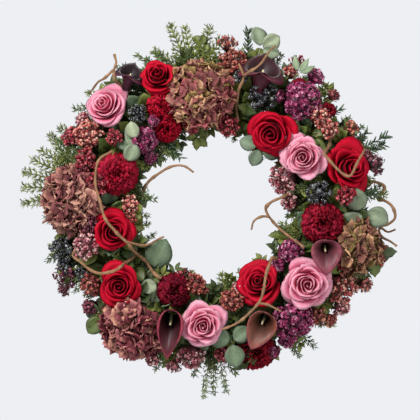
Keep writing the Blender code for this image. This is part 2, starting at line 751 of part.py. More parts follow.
def main():
    clear_scene()
    parts = new_collection("harvest_door_wreath")
    helpers = new_collection("helpers")
    centre = add_empty("ring_centre", -hook_point(), parts)
    add_frame(parts, centre)
    add_eyes(parts, centre)
    add_bail(parts, centre)
    heads = all_heads()
    twigs = {name: Twig(*row, heads.values()) for name, row in TWIGS.items()}
    stems = [head.stem for head in heads.values()]
    for name, twig in twigs.items():
        add_twig(name, twig, parts, helpers, centre)
        stems += [twig.stem, twig.rise]
    planted = [head.stem for head in heads.values()] + [twig.stem for twig in twigs.values()]
    for name, (root, tips) in SPRAYS.items():
        planted.append(add_spray(name, root, tips, parts, helpers, centre))
    for name, head in heads.items():
        add_head(name, head, heads, stems, parts, helpers, centre)
    add_moss(planted, parts, helpers, centre)
    add_binding(planted, parts, centre)


main()
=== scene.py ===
import json
import math

import bpy
import numpy as np
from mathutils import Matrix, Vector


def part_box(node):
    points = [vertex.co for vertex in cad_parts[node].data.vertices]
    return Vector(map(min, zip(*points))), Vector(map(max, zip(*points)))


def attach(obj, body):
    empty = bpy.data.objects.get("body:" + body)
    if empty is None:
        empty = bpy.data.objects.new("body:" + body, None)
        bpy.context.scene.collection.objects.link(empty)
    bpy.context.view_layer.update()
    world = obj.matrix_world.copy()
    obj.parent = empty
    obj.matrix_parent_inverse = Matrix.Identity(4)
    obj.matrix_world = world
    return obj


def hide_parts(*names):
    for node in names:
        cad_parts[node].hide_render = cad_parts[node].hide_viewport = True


# a hand-tied door wreath: flowers, berries, leaves and twigs planted in a moss ring on a wire frame, with a bail to
# hang it by; places on it are a clock angle in degrees, an offset from the ring's mean radius, out or in, and a
# level forward of the door
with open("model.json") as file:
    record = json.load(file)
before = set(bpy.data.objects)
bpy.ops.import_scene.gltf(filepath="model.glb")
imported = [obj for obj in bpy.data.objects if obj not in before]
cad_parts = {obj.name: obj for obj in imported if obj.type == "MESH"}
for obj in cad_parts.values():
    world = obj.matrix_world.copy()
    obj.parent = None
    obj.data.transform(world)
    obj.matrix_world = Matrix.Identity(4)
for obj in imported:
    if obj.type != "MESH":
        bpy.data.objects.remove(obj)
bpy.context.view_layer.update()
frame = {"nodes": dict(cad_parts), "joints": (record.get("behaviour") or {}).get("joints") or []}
print("frame loaded:", len(frame["nodes"]), "pieces")

# the ring's own measures, read from the frame
mm = 0.001
outerLow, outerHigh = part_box("frame_outer_ring")
innerLow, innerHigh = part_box("frame_inner_ring")
mossLow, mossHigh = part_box("moss_ring")
wireR = (outerHigh.y - outerLow.y) / 2
meanR = (outerHigh.x + innerHigh.x) / 2 - wireR
mossR = mossHigh.x - meanR
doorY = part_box("frame_strap_1")[1].y
ringCentre = np.array([0.0, doorY, (outerLow.z + outerHigh.z) / 2])
mossLevel = doorY - mossLow.y - mossR
forward = np.array([0.0, -1.0, 0.0])
golden = math.pi * (3 - math.sqrt(5))
# where each group's random draws start
seeds = {"roses": 40, "carnations": 70, "smallBlooms": 80, "hydrangeas": 100, "clusters": 120, "smallClusters": 150,
         "sprigs": 200, "sprays": 230, "reaching": 240, "fill": 250, "cover": 260, "moss": 270, "twigs": 300}


def paint(r, g, b):
    # display values from 0 to 255 turned to linear light, about the 2.2 power
    c = np.array([r, g, b]) / 255
    return np.where(c <= 0.04045, c / 12.92, ((c + 0.055) / 1.055) ** 2.4)


def outward(clock):
    # the direction out from the ring's centre: the sine of the clock angle across, its cosine up
    a = np.radians(np.asarray(clock, float))
    return np.stack([np.sin(a), 0 * a, np.cos(a)], axis=-1)


def at(clock, offset, level):
    # a place on the wreath: mean radius plus offset along the clock's radius, level forward of the door
    clock, offset, level = np.broadcast_arrays(*(np.asarray(x, float) for x in (clock, offset, level)))
    return ringCentre + (meanR + offset)[..., None] * outward(clock) + level[..., None] * forward


def axisAt(clock, roll):
    # a direction out of the moss tube: forward at roll 0, straight out from the ring at roll 90
    a = np.radians(np.asarray(roll, float))[..., None]
    return np.cos(a) * forward + np.sin(a) * outward(clock)


def unit(v):
    # each vector divided by its own length
    return v / np.maximum(np.linalg.norm(v, axis=-1, keepdims=True), 1e-12)


def basis(axis, spin=0.0, lead=(0.0, 0.0, 1.0)):
    # columns x, y, z: z on the axis, y as near the lead as it can be, then turned by spin about z
    z = unit(np.asarray(axis, float))
    x = np.cross(np.broadcast_to(np.asarray(lead, float), z.shape), z)
    x = unit(np.where(np.linalg.norm(x, axis=-1, keepdims=True) < 1e-3, [1.0, 0.0, 0.0], x))
    y = np.cross(z, x)
    c, s = np.cos(spin)[..., None], np.sin(spin)[..., None]
    return np.stack([c * x + s * y, c * y - s * x, z], axis=-1)


def leaning(along, facing):
    # columns x, y, z: y along the petal, z as near the facing direction as it can be
    y = unit(np.asarray(along, float))
    x = unit(np.cross(y, np.broadcast_to(facing, y.shape) + 1e-4 * y[..., ::-1]))
    return np.stack([x, y, np.cross(x, y)], axis=-1)


def dome(count, low, rng, jitter=0.0):
    # directions over a dome by the golden angle: the height falls evenly from 1 to low
    i = np.arange(count) + 0.5
    h = 1 - (1 - low) * i / count
    r = np.sqrt(np.clip(1 - h**2, 0, 1))
    d = np.stack([r * np.cos(i * golden), r * np.sin(i * golden), h], axis=-1)
    return unit(d + rng.normal(0, jitter, d.shape)) if jitter else d


def normals(p):
    # the cross product of the two grid directions at each point
    return unit(np.cross(np.gradient(p, axis=0), np.gradient(p, axis=1)))


def surfaceUV(u, v):
    # u from -1 to 1 across a petal or leaf and v from 0 to 1 along it, as map coordinates from 0 to 1
    return np.stack([(u + 1) / 2 + 0 * v, v + 0 * u], axis=-1)


def gridPart(p, uv=None, wrap=False, shade=None):
    # the quads of a grid of points; wrap joins the last column to the first
    a, b = p.shape[:2]
    i, j = np.meshgrid(np.arange(a - 1), np.arange(b if wrap else b - 1), indexing="ij")
    k = (j + 1) % b
    quads = np.stack([i * b + j, (i + 1) * b + j, (i + 1) * b + k, i * b + k], axis=-1).reshape(-1, 4)
    u, v = np.meshgrid(np.linspace(0, 1, a), np.linspace(0, 1, b), indexing="ij")
    uv = np.stack([u, v], axis=-1) if uv is None else uv
    shade = np.ones(p.shape) if shade is None else np.broadcast_to(shade, p.shape)
    return {"v": p.reshape(-1, 3), "q": quads, "uv": uv.reshape(-1, 2), "shade": shade.reshape(-1, 3)}


def joinParts(parts):
    # the arrays end to end; each part's faces count their points from where the part starts
    starts = np.cumsum([0] + [len(part["v"]) for part in parts[:-1]])
    joined = {key: np.concatenate([part[key] for part in parts]) for key in parts[0] if key != "q"}
    joined["q"] = np.concatenate([part["q"] + start for part, start in zip(parts, starts)])
    return joined


def shellPart(p, thick, uv=None, shade=None, backShade=None):
    # a closed petal: the sheet and a copy set back along its normal, full inside and nothing at the edge
    a, b = p.shape[:2]
    u, v = np.meshgrid(np.linspace(-1, 1, a), np.linspace(-1, 1, b), indexing="ij")
    body = np.clip(3 * (1 - u**2), 0, 1) * np.clip(3 * (1 - v**2), 0, 1)
    front = gridPart(p, uv, shade=shade)
    backShade = shade if backShade is None else backShade
    back = gridPart(p - thick * body[..., None] * normals(p), uv, shade=backShade)
    back["q"] = back["q"][:, ::-1]
    return weldPart(joinParts([front, back]))


def weldPart(part):
    # points in the same place become one, which closes seams, edges and poles
    _, first, index = np.unique(np.round(part["v"], 7), axis=0, return_index=True, return_inverse=True)
    welded = {key: part[key][first] for key in part if key != "q"}
    welded["q"] = index.reshape(-1)[part["q"]]
    return welded


def movePart(part, place=(0, 0, 0), turn=None, size=1.0):
    # each point times the size, turned by the matrix, plus the place
    v = size * part["v"]
    return dict(part, v=np.asarray(place) + (v if turn is None else v @ np.asarray(turn).T))


def ballPart(around, rings, high=1.0):
    # a ball by its angle round and its height angle, high times as tall; its shade falls from full at the top to half
    # at the bottom, painted shade on its underside
    a = np.linspace(0, 2 * np.pi, around, endpoint=False)
    e = np.linspace(-np.pi / 2, np.pi / 2, rings)[:, None]
    p = np.stack([np.cos(e) * np.cos(a), np.cos(e) * np.sin(a), high * np.sin(e) + 0 * a], axis=-1)
    p[[0, -1], :, :2] = 0
    part = gridPart(p, wrap=True, shade=(0.75 + 0.25 * np.sin(e) + 0 * a)[..., None])
    part["q"] = part["q"][:, ::-1]
    return weldPart(part)


def tubePart(path, radius, around=8):
    # a ring of points round each point of a path, carried without twist, closed to a point at both ends
    path = np.asarray(path, float)
    radius = np.broadcast_to(radius, len(path))
    along = unit(np.gradient(path, axis=0))
    side = np.zeros_like(path)
    side[0] = unit(np.cross(along[0], [0.31, 0.87, 0.38]))
    for i in range(1, len(path)):
        side[i] = unit(side[i - 1] - along[i] * np.dot(side[i - 1], along[i]))
    other = np.cross(along, side)
    a = np.linspace(0, 2 * np.pi, around, endpoint=False)[:, None]
    p = path[:, None] + radius[:, None, None] * (np.cos(a) * side[:, None] + np.sin(a) * other[:, None])
    p = np.concatenate([np.repeat(path[:1], around, 0)[None], p, np.repeat(path[-1:], around, 0)[None]])
    part = gridPart(p, wrap=True)
    part["q"] = part["q"][:, ::-1]
    return weldPart(part)


def smoothPath(points, step):
    # a Catmull-Rom curve: each stretch is a cubic through its two points that looks at one more on either side
    points = np.asarray(points, float)
    k = np.vstack([2 * points[0] - points[1], points, 2 * points[-1] - points[-2]])
    out = [k[1:2]]
    for a, b, c, d in zip(k[:-3], k[1:-2], k[2:-1], k[3:]):
        t = (np.arange(max(2, round(np.linalg.norm(c - b) / step))) + 1.0)[:, None]
        t /= len(t)
        out.append(b + 0.5 * ((c - a) * t + (2 * a - 5 * b + 4 * c - d) * t**2 + (3 * b - a - 3 * c + d) * t**3))
    return np.vstack(out)


def tinted(part, tint):
    # the part's own shade times one colour at every point
    return {**{key: part[key] for key in part if key != "shade"}, "tint": part["shade"] * np.asarray(tint)}


def scatter(part, places, turns, sizes, tints):
    # copies of one part: each point is turned, sized and moved by its own copy's row
    n, m = len(places), len(part["v"])
    sizes = np.broadcast_to(np.asarray(sizes, float).reshape(-1, 1, 1), (n, 1, 1))
    v = np.einsum("nij,mj->nmi", turns, part["v"]) * sizes + np.asarray(places)[:, None]
    tint = np.broadcast_to(tints, (n, 3))[:, None] * part["shade"][None]
    quads = part["q"][None] + (np.arange(n) * m)[:, None, None]
    return {"v": v.reshape(-1, 3), "q": quads.reshape(-1, 4), "uv": np.tile(part["uv"], (n, 1)),
            "tint": tint.reshape(-1, 3)}


def pick(colours, count, rng, spread=0.12):
    # one of the colours for each copy, each a little lighter or darker
    chosen = np.asarray(colours)[rng.integers(len(colours), size=count)]
    return chosen * (1 + rng.normal(0, spread, (count, 1))).clip(0.5, 1.6)


def addPiece(name, part, material, body="wreath", stands=(), slot=None):
    # the part's arrays become one mesh; a corner that repeats the one before it is left out of its face
    q = part["q"]
    keep = q != np.roll(q, -1, axis=1)
    keep[keep.sum(1) < 3] = False
    counts = keep.sum(1)
    counts = counts[counts > 0]
    corners = q[keep].astype(np.int32)
    mesh = bpy.data.meshes.new(name)
    mesh.vertices.add(len(part["v"]))
    mesh.vertices.foreach_set("co", part["v"].astype(np.float32).ravel())
    mesh.loops.add(len(corners))
    mesh.loops.foreach_set("vertex_index", corners)
    mesh.polygons.add(len(counts))
    mesh.polygons.foreach_set("loop_start", np.concatenate([[0], np.cumsum(counts)[:-1]]).astype(np.int32))
    mesh.update(calc_edges=True)
    layer = mesh.uv_layers.new(name="UVMap")
    layer.data.foreach_set("uv", part["uv"][corners].astype(np.float32).ravel())
    tint = mesh.attributes.new("tint", "FLOAT_COLOR", "POINT")
    colour = np.ones((len(part["v"]), 4), np.float32)
    colour[:, :3] = np.clip(part["tint"], 0, 1)
    tint.data.foreach_set("color", colour.ravel())
    mesh.shade_smooth()
    mesh.materials.append(material)
    piece = bpy.data.objects.new(name, mesh)
    bpy.context.scene.collection.objects.link(piece)
    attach(piece, body)
    if stands:
        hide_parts(*stands)
    return piece


# each finish: rough is a middle value, mottle and veins are how much the colour varies, scales are per metre, and
# veins are stretched along the piece's own surface
finishes = {
    "velvetPetal": {"rough": 0.66, "mottle": 0.14, "mottleScale": 120, "grainScale": 900, "bump": 0.25,
                    "veins": 0.12, "veinStretch": (30, 3, 1), "shader": {"Specular IOR Level": 0.15}},
    "softPetal": {"rough": 0.55, "mottle": 0.08, "mottleScale": 120, "grainScale": 900, "bump": 0.25,
                  "veins": 0.1, "veinStretch": (30, 3, 1),
                  "shader": {"Sheen Weight": 0.12, "Sheen Roughness": 0.4, "Specular IOR Level": 0.3}},
    "rufflePetal": {"rough": 0.66, "mottle": 0.16, "mottleScale": 260, "grainScale": 1500, "bump": 0.3,
                    "veins": 0.2, "veinStretch": (14, 3, 1), "shader": {"Specular IOR Level": 0.15}},
    "waxySpathe": {"rough": 0.5, "mottle": 0.15, "mottleScale": 90, "grainScale": 700, "bump": 0.2,
                   "veins": 0.3, "veinStretch": (60, 3, 1), "shader": {"Specular IOR Level": 0.4}},
    "paperyFloret": {"rough": 0.78, "mottle": 0.2, "mottleScale": 220, "grainScale": 1300, "bump": 0.5,
                     "veins": 0.22, "veinStretch": (9, 4, 1), "shader": {"Specular IOR Level": 0.25}},
    "budSkin": {"rough": 0.5, "mottle": 0.2, "mottleScale": 500, "grainScale": 2500, "bump": 0.3,
                "shader": {"Specular IOR Level": 0.45}},
    "berrySkin": {"rough": 0.26, "mottle": 0.3, "mottleScale": 300, "grainScale": 2000, "bump": 0.12,
                  "shader": {"Specular IOR Level": 0.7, "Coat Weight": 0.3, "Coat Roughness": 0.15}},
    "sageLeaf": {"rough": 0.6, "mottle": 0.14, "mottleScale": 130, "grainScale": 1200, "bump": 0.3,
                 "veins": 0.12, "veinStretch": (16, 9, 1), "shader": {"Sheen Weight": 0.15}},
    "darkLeaf": {"rough": 0.45, "mottle": 0.25, "mottleScale": 150, "grainScale": 1100, "bump": 0.35,
                 "veins": 0.18, "veinStretch": (10, 14, 1), "shader": {"Specular IOR Level": 0.45}},
    "needle": {"rough": 0.6, "mottle": 0.25, "mottleScale": 200, "grainScale": 1500, "bump": 0.3,
               "shader": {"Specular IOR Level": 0.3}},
    "willowBark": {"rough": 0.72, "mottle": 0.3, "mottleScale": 160, "grainScale": 600, "bump": 0.7,
                   "veins": 0.3, "veinStretch": (60, 5, 1), "shader": {"Specular IOR Level": 0.3}},
    "mossFibre": {"rough": 0.9, "mottle": 0.5, "mottleScale": 260, "grainScale": 900, "bump": 1.0,
                  "bumpDepth": 0.002, "shader": {"Specular IOR Level": 0.15}},
    "enamelWire": {"rough": 0.4, "mottle": 0.15, "mottleScale": 200, "grainScale": 900, "bump": 0.15,
                   "shader": {"Metallic": 0.2, "Coat Weight": 0.3}},
    "galvanised": {"rough": 0.36, "mottle": 0.15, "mottleScale": 500, "grainScale": 1500, "bump": 0.12,
                   "shader": {"Metallic": 1.0}},
}
finishes["strapEnamel"] = dict(finishes["enamelWire"], colour=paint(50, 78, 56))
finishes["bindingSkin"] = dict(finishes["galvanised"], colour=paint(120, 122, 124))


roughSwing = 0.08  # how far the fine noise moves the roughness either way


def finish(name, dial):
    # colour is the piece's own tint, or one colour, times a coarse noise and the veins; the fine noise sets the
    # roughness, and the fine noise plus the veins the bump
    material = bpy.data.materials.new(name)
    material.use_nodes = True
    nodes, links = material.node_tree.nodes, material.node_tree.links
    shader = nodes["Principled BSDF"]
    for socket, value in dial.get("shader", {}).items():
        shader.inputs[socket].default_value = value
    place = nodes.new("ShaderNodeTexCoord")
    if "colour" in dial:
        colour = nodes.new("ShaderNodeRGB")
        colour.outputs[0].default_value = (*dial["colour"], 1)
    else:
        colour = nodes.new("ShaderNodeAttribute")
        colour.attribute_name = "tint"

    def noise(scale, coords, stretch=(1, 1, 1)):
        # a noise from 0 to 1 over the coordinates times the stretch
        mapping = nodes.new("ShaderNodeMapping")
        mapping.inputs["Scale"].default_value = stretch
        links.new(coords, mapping.inputs["Vector"])
        made = nodes.new("ShaderNodeTexNoise")
        made.inputs["Scale"].default_value = scale
        made.inputs["Detail"].default_value = 2
        links.new(mapping.outputs[0], made.inputs["Vector"])
        return made.outputs["Fac"]

    def ranged(value, low, high):
        # the middle of a noise, from 0.3 to 0.7, spread in a line from low to high
        made = nodes.new("ShaderNodeMapRange")
        made.inputs["From Min"].default_value = 0.3
        made.inputs["From Max"].default_value = 0.7
        made.inputs["To Min"].default_value = low
        made.inputs["To Max"].default_value = high
        links.new(value, made.inputs["Value"])
        return made.outputs["Result"]

    def times(colour, factor):
        # the colour with all three of its parts times the factor
        made = nodes.new("ShaderNodeVectorMath")
        made.operation = "SCALE"
        links.new(colour, made.inputs[0])
        links.new(factor, made.inputs["Scale"])
        return made.outputs[0]

    coarse = noise(dial["mottleScale"], place.outputs["Object"])
    source = times(colour.outputs[0], ranged(coarse, 1 - dial["mottle"], 1 + dial["mottle"]))
    fine = noise(dial["grainScale"], place.outputs["Object"])
    height = fine
    if dial.get("veins"):
        veins = noise(1, place.outputs["UV"], dial["veinStretch"])
        source = times(source, ranged(veins, 1 - dial["veins"], 1 + dial["veins"] / 2))
        added = nodes.new("ShaderNodeMath")
        links.new(fine, added.inputs[0])
        links.new(veins, added.inputs[1])
        height = added.outputs[0]
    links.new(source, shader.inputs["Base Color"])
    links.new(ranged(fine, dial["rough"] - roughSwing, dial["rough"] + roughSwing), shader.inputs["Roughness"])
    bump = nodes.new("ShaderNodeBump")
    bump.inputs["Strength"].default_value = dial["bump"]
    bump.inputs["Distance"].default_value = dial.get("bumpDepth", 0.0005)
    links.new(height, bump.inputs["Height"])
    links.new(bump.outputs[0], shader.inputs["Normal"])
    return material


skins = {name: finish(name, dial) for name, dial in finishes.items()}
print("finishes made:", len(skins))


def nodePoints(name):
    # a frame piece's points, one row of x, y and z each
    mesh = frame["nodes"][name].data
    co = np.zeros(len(mesh.vertices) * 3, np.float32)
    mesh.vertices.foreach_get("co", co)
    return co.reshape(-1, 3).astype(float)


# how far a head reaches past its own middle, as a share of its radius
topShare = {"rose": 0.54, "carnation": 0.55, "calla": 0.6, "hydrangea": 0.5, "statice": 0.58, "pepper": 0.62,
            "viburnum": 0.6, "eucalyptus": 0.26}


def faceOf(axis):
    # the way a bloom looks: its stem's axis turned towards the front by 0.7 of the forward direction
    return unit(axis + 0.7 * forward)


def headOf(name):
    # the stem's foot is the part nearest the moss tube's centre line, and gives the head's axis
    p = nodePoints(name) - ringCentre
    offset = np.hypot(p[:, 0], p[:, 2]) - meanR
    depth = np.hypot(offset, -p[:, 1] - mossLevel)
    foot = p[depth < depth.min() + 0.0008].mean(0)
    clock = math.degrees(math.atan2(foot[0], foot[2]))
    roll = math.degrees(math.atan2(math.hypot(foot[0], foot[2]) - meanR, -foot[1] - mossLevel))
    axis = axisAt(clock, roll)
    base = at(clock, 0, mossLevel)
    along = (p + ringCentre - base) @ axis
    radius = np.linalg.norm(p + ringCentre - base - along[:, None] * axis, axis=1).max()
    place = base + (along.max() - topShare[name.split("_")[0]] * radius) * axis
    return {"place": place, "axis": axis, "radius": radius, "base": base, "face": faceOf(axis)}


def headAt(clock, offset, radius, stand=0.024):
    # a head on its own stem: the roll is the angle at which its reach gives the offset
    reach = max(mossR + stand, abs(offset) / math.sin(math.radians(72)))
    axis = axisAt(clock, math.degrees(math.asin(offset / reach)))
    base = at(clock, 0, mossLevel)
    return {"place": base + reach * axis, "axis": axis, "radius": radius, "base": base, "face": faceOf(axis)}


def stemTo(head, tint, reach=0.0, thick=1.4 * mm):
    # a gently bowed stem from inside the moss up into the head
    low = head["base"] + 0.55 * mossR * head["axis"]
    high = head["place"] + reach * head["axis"]
    t = np.linspace(0, 1, 7)[:, None]
    path = low + (high - low) * t + 1.2 * mm * np.sin(np.pi * t) * np.cross(head["axis"], forward + 0.3)
    return tinted(tubePart(path, thick, 6), tint)


stemGreen = paint(84, 104, 56)


def leafPart(rows=6, wide=0.42, belly=0.45, fold=0.12, droop=0.12, teeth=0.0, thick=0.02, sharp=1.0, rib=1.25):
    # a leaf along y from 0 to 1: its half width is a sine warped to be widest at the belly, folded on its midrib
    u = np.array([-1, -0.55, -0.1, 0.1, 0.55, 1])[:, None]
    v = np.linspace(0, 1, rows)[None]
    warped = np.where(v < belly, 0.5 * v / belly, 0.5 + 0.5 * (v - belly) / (1 - belly))
    half = wide * np.sin(np.pi * warped) ** sharp * (1 + teeth * np.sin(26 * v))
    p = np.stack([half * u, v + 0 * u, fold * np.abs(half * u) / wide - droop * v**2 - 0.05 * u**2 * v], axis=-1)
    shade = np.where(np.abs(u) < 0.2, rib, 0.9 + 0.15 * np.abs(u)) + 0 * v
    return shellPart(p, thick, surfaceUV(u, v), shade[..., None])


# of the values below, the one after thick is how far each petal darkens towards its foot: painted shade inside the cup
roseDial = {"petals": 26, "heartSpan": 1.8, "rimSpan": 1.3, "height": 0.95, "sink": 0.42, "roll": 0.11,
            "point": 0.07, "spread": 0.95, "tuck": 0.13, "ruffle": 0.05, "thick": 0.026, "paintedShade": 0.62, "size": 0.95}


def roseHead(dial, colours, rng):
    # petals by the golden angle from the heart out; each is a patch of a cup whose rim radius grows and whose rim
    # height falls with its place in line, with a rounded top edge that rolls outward; painted shade darkens each petal
    # towards its foot and on its back, and a painted highlight lightens its top edge
    parts = []
    u = np.linspace(-1, 1, 13)[:, None]
    v = np.linspace(0, 1, 10)[None]
    for i in range(dial["petals"]):
        t = i / (dial["petals"] - 1)
        span = dial["heartSpan"] + (dial["rimSpan"] - dial["heartSpan"]) * t
        rimR = 0.07 + 0.88 * t ** dial["spread"]
        rimZ = dial["height"] * (1 - 0.62 * t**1.7)
        top = 1 - (0.14 + 0.2 * t) * np.abs(u) ** 3 + dial["point"] * (1 - np.abs(u)) ** 2
        s = v * top
        bulge = 0.30 * (1 - t) * np.sin(np.pi * s)
        r = rimR * (0.22 + 0.78 * s ** (0.55 + 0.4 * t) + bulge)
        z = rimZ * s ** (1.05 + 0.35 * t)
        rolled = np.clip((s - 0.72) / 0.28, 0, 1.3) ** 2 * t**0.7
        r = (r + dial["roll"] * rolled) * (1 + dial["tuck"] * u * (1 - 0.4 * t))
        z = z - 0.75 * dial["roll"] * rolled * (0.4 + t)
        wave = np.sin(4.3 * u + rng.uniform(0, 6)) * s**3
        r = r + dial["ruffle"] * wave * (0.3 + t)
        z = z + 0.7 * dial["ruffle"] * np.sin(3.1 * u + rng.uniform(0, 6)) * s**3
        r = r * (1 + 0.07 * t * np.sin(i * golden * 2 + rng.uniform(0, 6)))
        angle = i * golden + rng.normal(0, 0.2) + span * u * (0.45 + 0.55 * s**0.5)
        p = np.stack([r * np.cos(angle), r * np.sin(angle), z - dial["sink"]], axis=-1)
        # painted shade: each petal darkens towards its foot, deep in the cup
        paintedShade = np.clip(1 - s, 0, 1)[..., None] ** 1.3
        # painted highlight: the petal's top edge turns towards the pale rim colour
        paintedHighlight = (np.clip((s - 0.8) / 0.2, 0, 1) ** 1.5)[..., None]
        # the inner petals take the darker heart colour: the rose's deeper tone at its centre and painted shade there
        hue = colours["heart"] * (1 - t) ** 1.5 + colours["body"] * (1 - (1 - t) ** 1.5)
        shade = hue * (1 - dial["paintedShade"] * paintedShade) * (1 - 0.7 * paintedHighlight) + colours["paintedHighlight"] * 0.7 * paintedHighlight
        front = shade * (1 + rng.normal(0, 0.05))
        # painted shade: the back of each petal is 0.85 of its front colour
        parts.append(shellPart(p, dial["thick"], surfaceUV(u, v), front, shade * 0.85))
    # painted shade: a darkened ball fills the heart, so the gaps between the inner petals look shaded
    core = tinted(movePart(ballPart(16, 9, 0.8), (0, 0, dial["height"] * 0.28 - dial["sink"]), size=0.5),
                  colours["heart"] * (1 - 0.75 * dial["paintedShade"]))
    return joinParts([tinted(joinParts(parts), 1.0), core])


# colours of each rose: heart for the inner petals, body for the outer, and last a pale painted highlight for the
# petals' top edges
roseColours = {
    "red": {"heart": paint(104, 0, 18), "body": paint(190, 0, 36), "paintedHighlight": paint(210, 4, 46)},
    "pink": {"heart": paint(206, 58, 98), "body": paint(230, 106, 142), "paintedHighlight": paint(250, 190, 206)},
}
# each rose: its spin, then what differs from the dial above
roses = {
    "rose_red_1": (2.9, {"petals": 15, "height": 1.1}), "rose_red_2": (1.9, {"petals": 18}),
    "rose_red_3": (3.1, {"petals": 16, "spread": 1.2, "ruffle": 0.06}), "rose_red_4": (4.0, {"petals": 16}),
    "rose_red_5": (5.2, {"petals": 19, "ruffle": 0.035, "size": 0.9}),
    "rose_red_6": (0.9, {"petals": 18, "spread": 1.15}),
    "rose_pink_1": (2.2, {"petals": 19, "point": 0.08, "paintedShade": 0.42}),
    "rose_pink_2": (0.6, {"petals": 20, "size": 0.89, "point": 0.2, "paintedShade": 0.5}),
    "rose_pink_3": (3.8, {"petals": 22, "point": 0.14, "paintedShade": 0.45, "ruffle": 0.07}),
    "rose_pink_4": (5.0, {"petals": 21, "point": 0.14, "paintedShade": 0.45, "ruffle": 0.07}),
}
sepal = leafPart(rows=5, wide=0.17, belly=0.3, fold=0.05, droop=0.2, thick=0.02)


def calyxOf(head, rng):
    # five sepals round the foot of the head, leaning out and down
    around = np.arange(5) * 2 * np.pi / 5 + rng.uniform(0, 1)
    out = np.stack([np.cos(around), np.sin(around), 0 * around + 0.25], axis=-1) @ basis(head["face"]).T
    places = head["place"] - 0.46 * head["radius"] * head["face"] + 0.1 * head["radius"] * out
    return scatter(sepal, places, leaning(out, head["face"]), 0.72 * head["radius"], paint(70, 98, 54))


for count, (name, (spin, differs)) in enumerate(roses.items()):
    rng = np.random.default_rng(seeds["roses"] + count)
    head = headOf(name)
    kind = name.split("_")[1]
    dial = {**roseDial, **differs}
    petals = roseHead(dial, roseColours[kind], rng)
    petals = movePart(petals, head["place"], basis(head["face"], np.array(spin)), dial["size"] * head["radius"])
    addPiece(name + "_petals", petals, skins["velvetPetal" if kind == "red" else "softPetal"], stands=[name],
             slot="rose_" + kind)
    green = joinParts([calyxOf(head, rng), stemTo(head, stemGreen, -0.4 * head["radius"], 1.5 * mm)])
    addPiece(name + "_calyx", green, skins["darkLeaf"])
print("roses made:", len(roses))


def fanPetal(teeth=5.0, wide=0.46, ruffle=0.13, cup=0.0, narrow=1.4):
    # a fan along y from 0 to 1: its half width grows as a power, the rim is cut in teeth and waves up and down
    u = np.linspace(-1, 1, 9)[:, None]
    v = np.linspace(0, 1, 5)[None]
    half = 0.04 + wide * v**narrow
    length = v * (1 - 0.12 * u**2) + 0.05 * v**4 * np.sin(teeth * np.pi * u)
    z = ruffle * v**2 * np.sin(2.5 * np.pi * u + 0.6) + cup * u**2 * v - 0.1 * v**2
    p = np.stack([half * u, length, z], axis=-1)
    # painted shade darkens each fan towards its foot among the crowded petals, and a painted highlight lightens its
    # rim
    shade = (0.35 + 0.65 * v**1.2 + 0.35 * np.clip(v - 0.85, 0, 1) / 0.15 + 0 * u)[..., None]
    return shellPart(p, 0.018, surfaceUV(u, v), shade)


# petals, how low they reach, the fan's shape, how loose they stand, the shortest of them, colours, size
carnationDial = {"petals": 74, "low": -0.12, "shape": {}, "spread": 0.12, "shortest": 0.72,
                 "colours": [paint(170, 4, 34), paint(140, 2, 28), paint(190, 22, 52)], "size": 0.92}
# what differs on each carnation; the first is a pompon of narrow petals
carnations = {
    "carnation_1": {"size": 0.8, "petals": 110, "shortest": 0.5, "spread": 0.05,
                    "shape": {"wide": 0.13, "ruffle": 0.0, "cup": 0.1, "teeth": 1.0, "narrow": 0.7},
                    "colours": [paint(148, 4, 34), paint(118, 0, 24), paint(166, 22, 52)]},
    "carnation_2": {"size": 0.77, "colours": [paint(134, 6, 32), paint(106, 2, 22), paint(156, 26, 52)]},
    "carnation_3": {"colours": [paint(128, 6, 26), paint(104, 2, 22), paint(148, 18, 38)]},
    "carnation_5": {"colours": [paint(112, 6, 30), paint(90, 4, 26), paint(130, 16, 42)]},
}


def carnationHead(dial, rng):
    # ruffled fans from one heart, pointing over a dome by the golden angle, longer towards the rim
    d = dome(dial["petals"], dial["low"], rng, dial["spread"])
    turn = leaning(d, np.array([0.0, 0.0, 1.0]))
    spin = rng.normal(0, 0.5, len(d)) if not dial["shape"] else 0 * d[:, 0]
    c, s = np.cos(spin)[:, None], np.sin(spin)[:, None]
    turn = np.stack([c * turn[..., 0] + s * turn[..., 2], turn[..., 1],
                     c * turn[..., 2] - s * turn[..., 0]], axis=-1)
    sizes = dial["shortest"] + (1.18 - dial["shortest"]) * (1 - d[:, 2].clip(0, 1)) ** 0.6
    places = np.array([0, 0, -0.32]) + 0.05 * d
    return scatter(fanPetal(**dial["shape"]), places, turn, sizes, pick(dial["colours"], len(d), rng))


def addCarnation(name, heads, dial, rng, **joins):
    # the fans of each head, as large as its radius times the dial's size, on a stem of its own
    parts = []
    for head in heads:
        size = dial["size"] * head["radius"]
        bloom = movePart(carnationHead(dial, rng), head["place"], basis(head["face"]), size)
        parts += [bloom, stemTo(head, stemGreen, -0.3 * head["radius"])]
    addPiece(name, joinParts(parts), skins["rufflePetal"], **joins)


for count, (name, differs) in enumerate(carnations.items()):
    rng = np.random.default_rng(seeds["carnations"] + count)
    addCarnation(name + "_petals", [headOf(name)], {**carnationDial, **differs}, rng, stands=[name],
                 slot="carnation")
# two small blooms stand for carnation_4, and two smaller ones fill the outer edge: clock, offset, radius, stand
pair = [headAt(332.5, -0.002, 0.0165, 0.02), headAt(329.5, -0.029, 0.0165, 0.02)]
addCarnation("carnation_4_petals", pair, {**carnationDial, "petals": 46},
             np.random.default_rng(seeds["smallBlooms"]), stands=["carnation_4"], slot="carnation")
small = [headAt(50, 0.045, 0.009, 0.03), headAt(35, 0.044, 0.008, 0.03)]
addCarnation("small_red_blooms", small, {**carnationDial, "petals": 26, "colours": [paint(132, 8, 32)]},
             np.random.default_rng(seeds["smallBlooms"] + 1))
print("carnations made:", len(carnations) + 3)


callaDial = {"length": 1.9, "throat": 0.2, "reach": 0.92, "shift": 0.34, "width": 1.0, "point": 0.95, "close": 0.0,
             "lip": 0.42, "overlap": 0.14}


